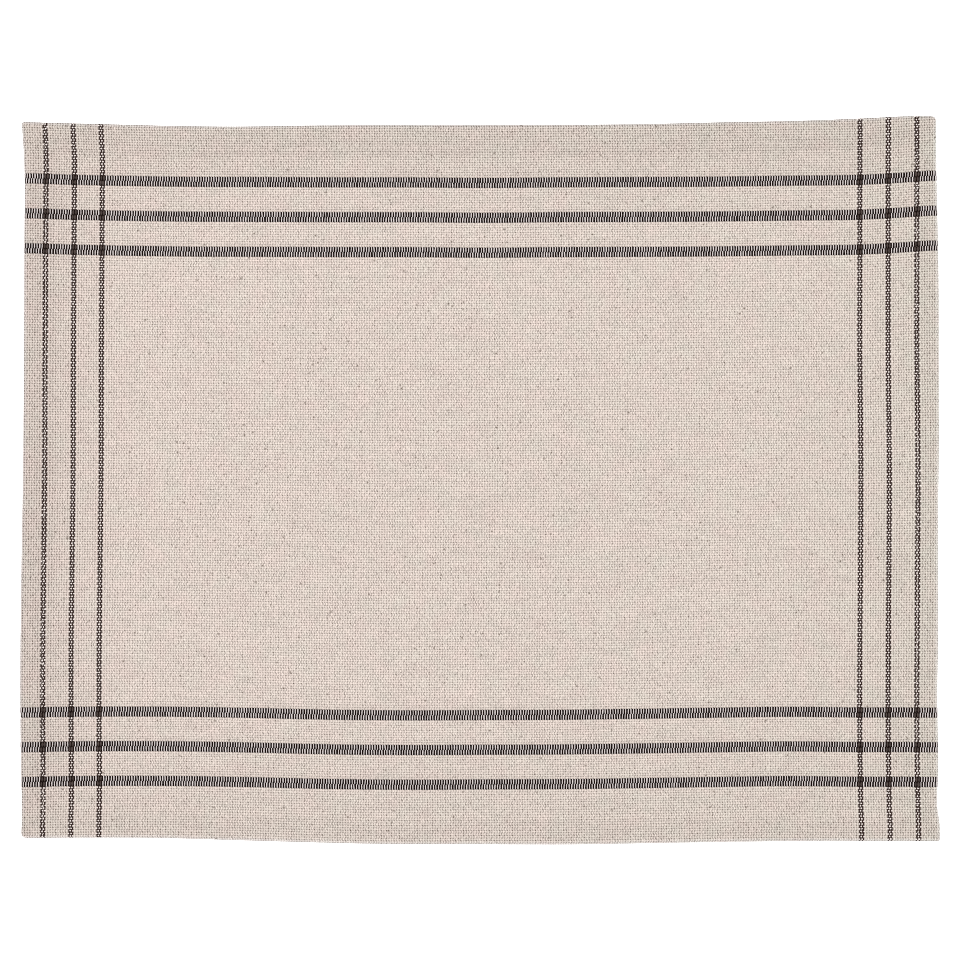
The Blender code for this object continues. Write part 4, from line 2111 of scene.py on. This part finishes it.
@dataclass
class Studio:
    """The plain pale floor, the soft light and the camera straight above."""

    middle: tuple[float, float]  # the mat's footprint middle in the photo's own frame
    frame_width: float = 0.47174  # width of what the photo shows
    # what lies in the middle of the photo, from the plain rectangle's middle
    photo_middle: tuple[float, float] = (-0.00005, 0.0002)
    lens: float = 100.0  # focal length in millimetres
    sensor: float = 36.0  # sensor width in millimetres
    view_height: float = 0.001  # height over the floor at which the photo has that width
    view_end: float = 20.0  # how far the camera sees
    floor_size: float = 24.0  # length of the floor's sides
    floor_colour: Colour = (0.93, 0.93, 0.93)
    floor_glow: float = 0.5  # how strongly the floor glows
    sky: float = 0.86  # strength of the light all round
    lamp_power: float = 80.0  # in watts
    lamp_size: float = 2.2  # length of the lamp's sides
    lamp_place: tuple[float, float, float] = (-1.3, 1.7, 3.6)  # where the lamp is
    sharpness: float = 0.9  # width of a pixel's filter

    def build(self) -> None:
        """Builds the floor, light and camera."""
        scene = bpy.context.scene
        scene.view_settings.view_transform = "Standard"
        scene.cycles.filter_width = self.sharpness
        scene.cycles.use_denoising = False
        self.add_floor()
        self.add_light()
        data = bpy.data.cameras.new("camera_above")
        data.lens, data.sensor_width = self.lens, self.sensor
        data.clip_end = self.view_end
        camera = bpy.data.objects.new("camera_above", data)
        x, y = (aim - middle for aim, middle in zip(self.photo_middle, self.middle))
        camera.location = (x, y, self.lens / self.sensor * self.frame_width + self.view_height)
        scene.collection.objects.link(camera)
        scene.camera = camera

    def add_floor(self) -> None:
        """Adds the floor."""
        bpy.ops.object.select_all(action="DESELECT")
        bpy.ops.mesh.primitive_plane_add(size=self.floor_size, location=(0.0, 0.0, 0.0))
        floor = bpy.context.object
        floor.name = "studio_floor"
        board = Board("pale_floor")
        board.set(
            Base_Color=(*self.floor_colour, 1.0), Roughness=0.7, Specular_IOR_Level=0.1,
            Emission_Color=(1.0, 1.0, 1.0, 1.0), Emission_Strength=self.floor_glow,
        )
        floor.data.materials.append(board.material)

    def add_light(self) -> None:
        """Adds the even light all round and one large soft lamp."""
        world = bpy.data.worlds.new("studio")
        world.use_nodes = True
        background = world.node_tree.nodes["Background"]
        background.inputs["Color"].default_value = (1.0, 1.0, 1.0, 1.0)
        background.inputs["Strength"].default_value = self.sky
        bpy.context.scene.world = world
        lamp = bpy.data.lights.new("soft_lamp", "AREA")
        lamp.shape, lamp.size, lamp.energy = "SQUARE", self.lamp_size, self.lamp_power
        holder = bpy.data.objects.new("soft_lamp", lamp)
        holder.location = self.lamp_place
        x, y, z = self.lamp_place
        holder.rotation_euler = (math.atan2(math.hypot(x, y), z), 0.0, math.atan2(y, x) + math.pi / 2)
        bpy.context.scene.collection.objects.link(holder)


def move_to_origin(pieces: Sequence[bpy.types.Object], middle: tuple[float, float]) -> None:
    """Moves the pieces' meshes so that the footprint's middle is at the origin, and presses crests flat.

    Args:
        pieces: The pieces.
        middle: Where the footprint's middle is.
    """
    for piece in pieces:
        count = len(piece.data.vertices)
        co = np.zeros(count * 3, np.float32)
        piece.data.vertices.foreach_get("co", co)
        co = co.reshape(count, 3) - np.array([*middle, 0.0], np.float32)
        co[:, 2] = np.maximum(co[:, 2], LOWEST)
        piece.data.vertices.foreach_set("co", co.ravel())
        piece.data.update()


def main() -> None:
    """Builds the placemat and its studio, and reports each piece."""
    logging.basicConfig(level=logging.INFO, format="%(message)s")
    rng = np.random.default_rng(SEED)
    surface = ClothSurface()
    middle = surface.outline.middle()
    cloth = GroundCloth(surface).build()
    pieces = [cloth, *WarpLines(surface).build(), *WeftBands(surface).build()]
    for side in Side:
        pieces += [BandCrossings(surface).build(side, dye, rng) for dye in Dye]
        pieces.append(LineCrossings(surface).build(side, rng))
        pieces.append(HemStitches(surface).build(side, rng))
    move_to_origin(pieces, middle)
    for piece in pieces:
        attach(piece, BODY)
        piece.data.calc_loop_triangles()
        LOG.info("%s: %d triangles", piece.name, len(piece.data.loop_triangles))
    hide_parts(NODE)
    Studio(middle).build()


if __name__ == "__main__":
    main()
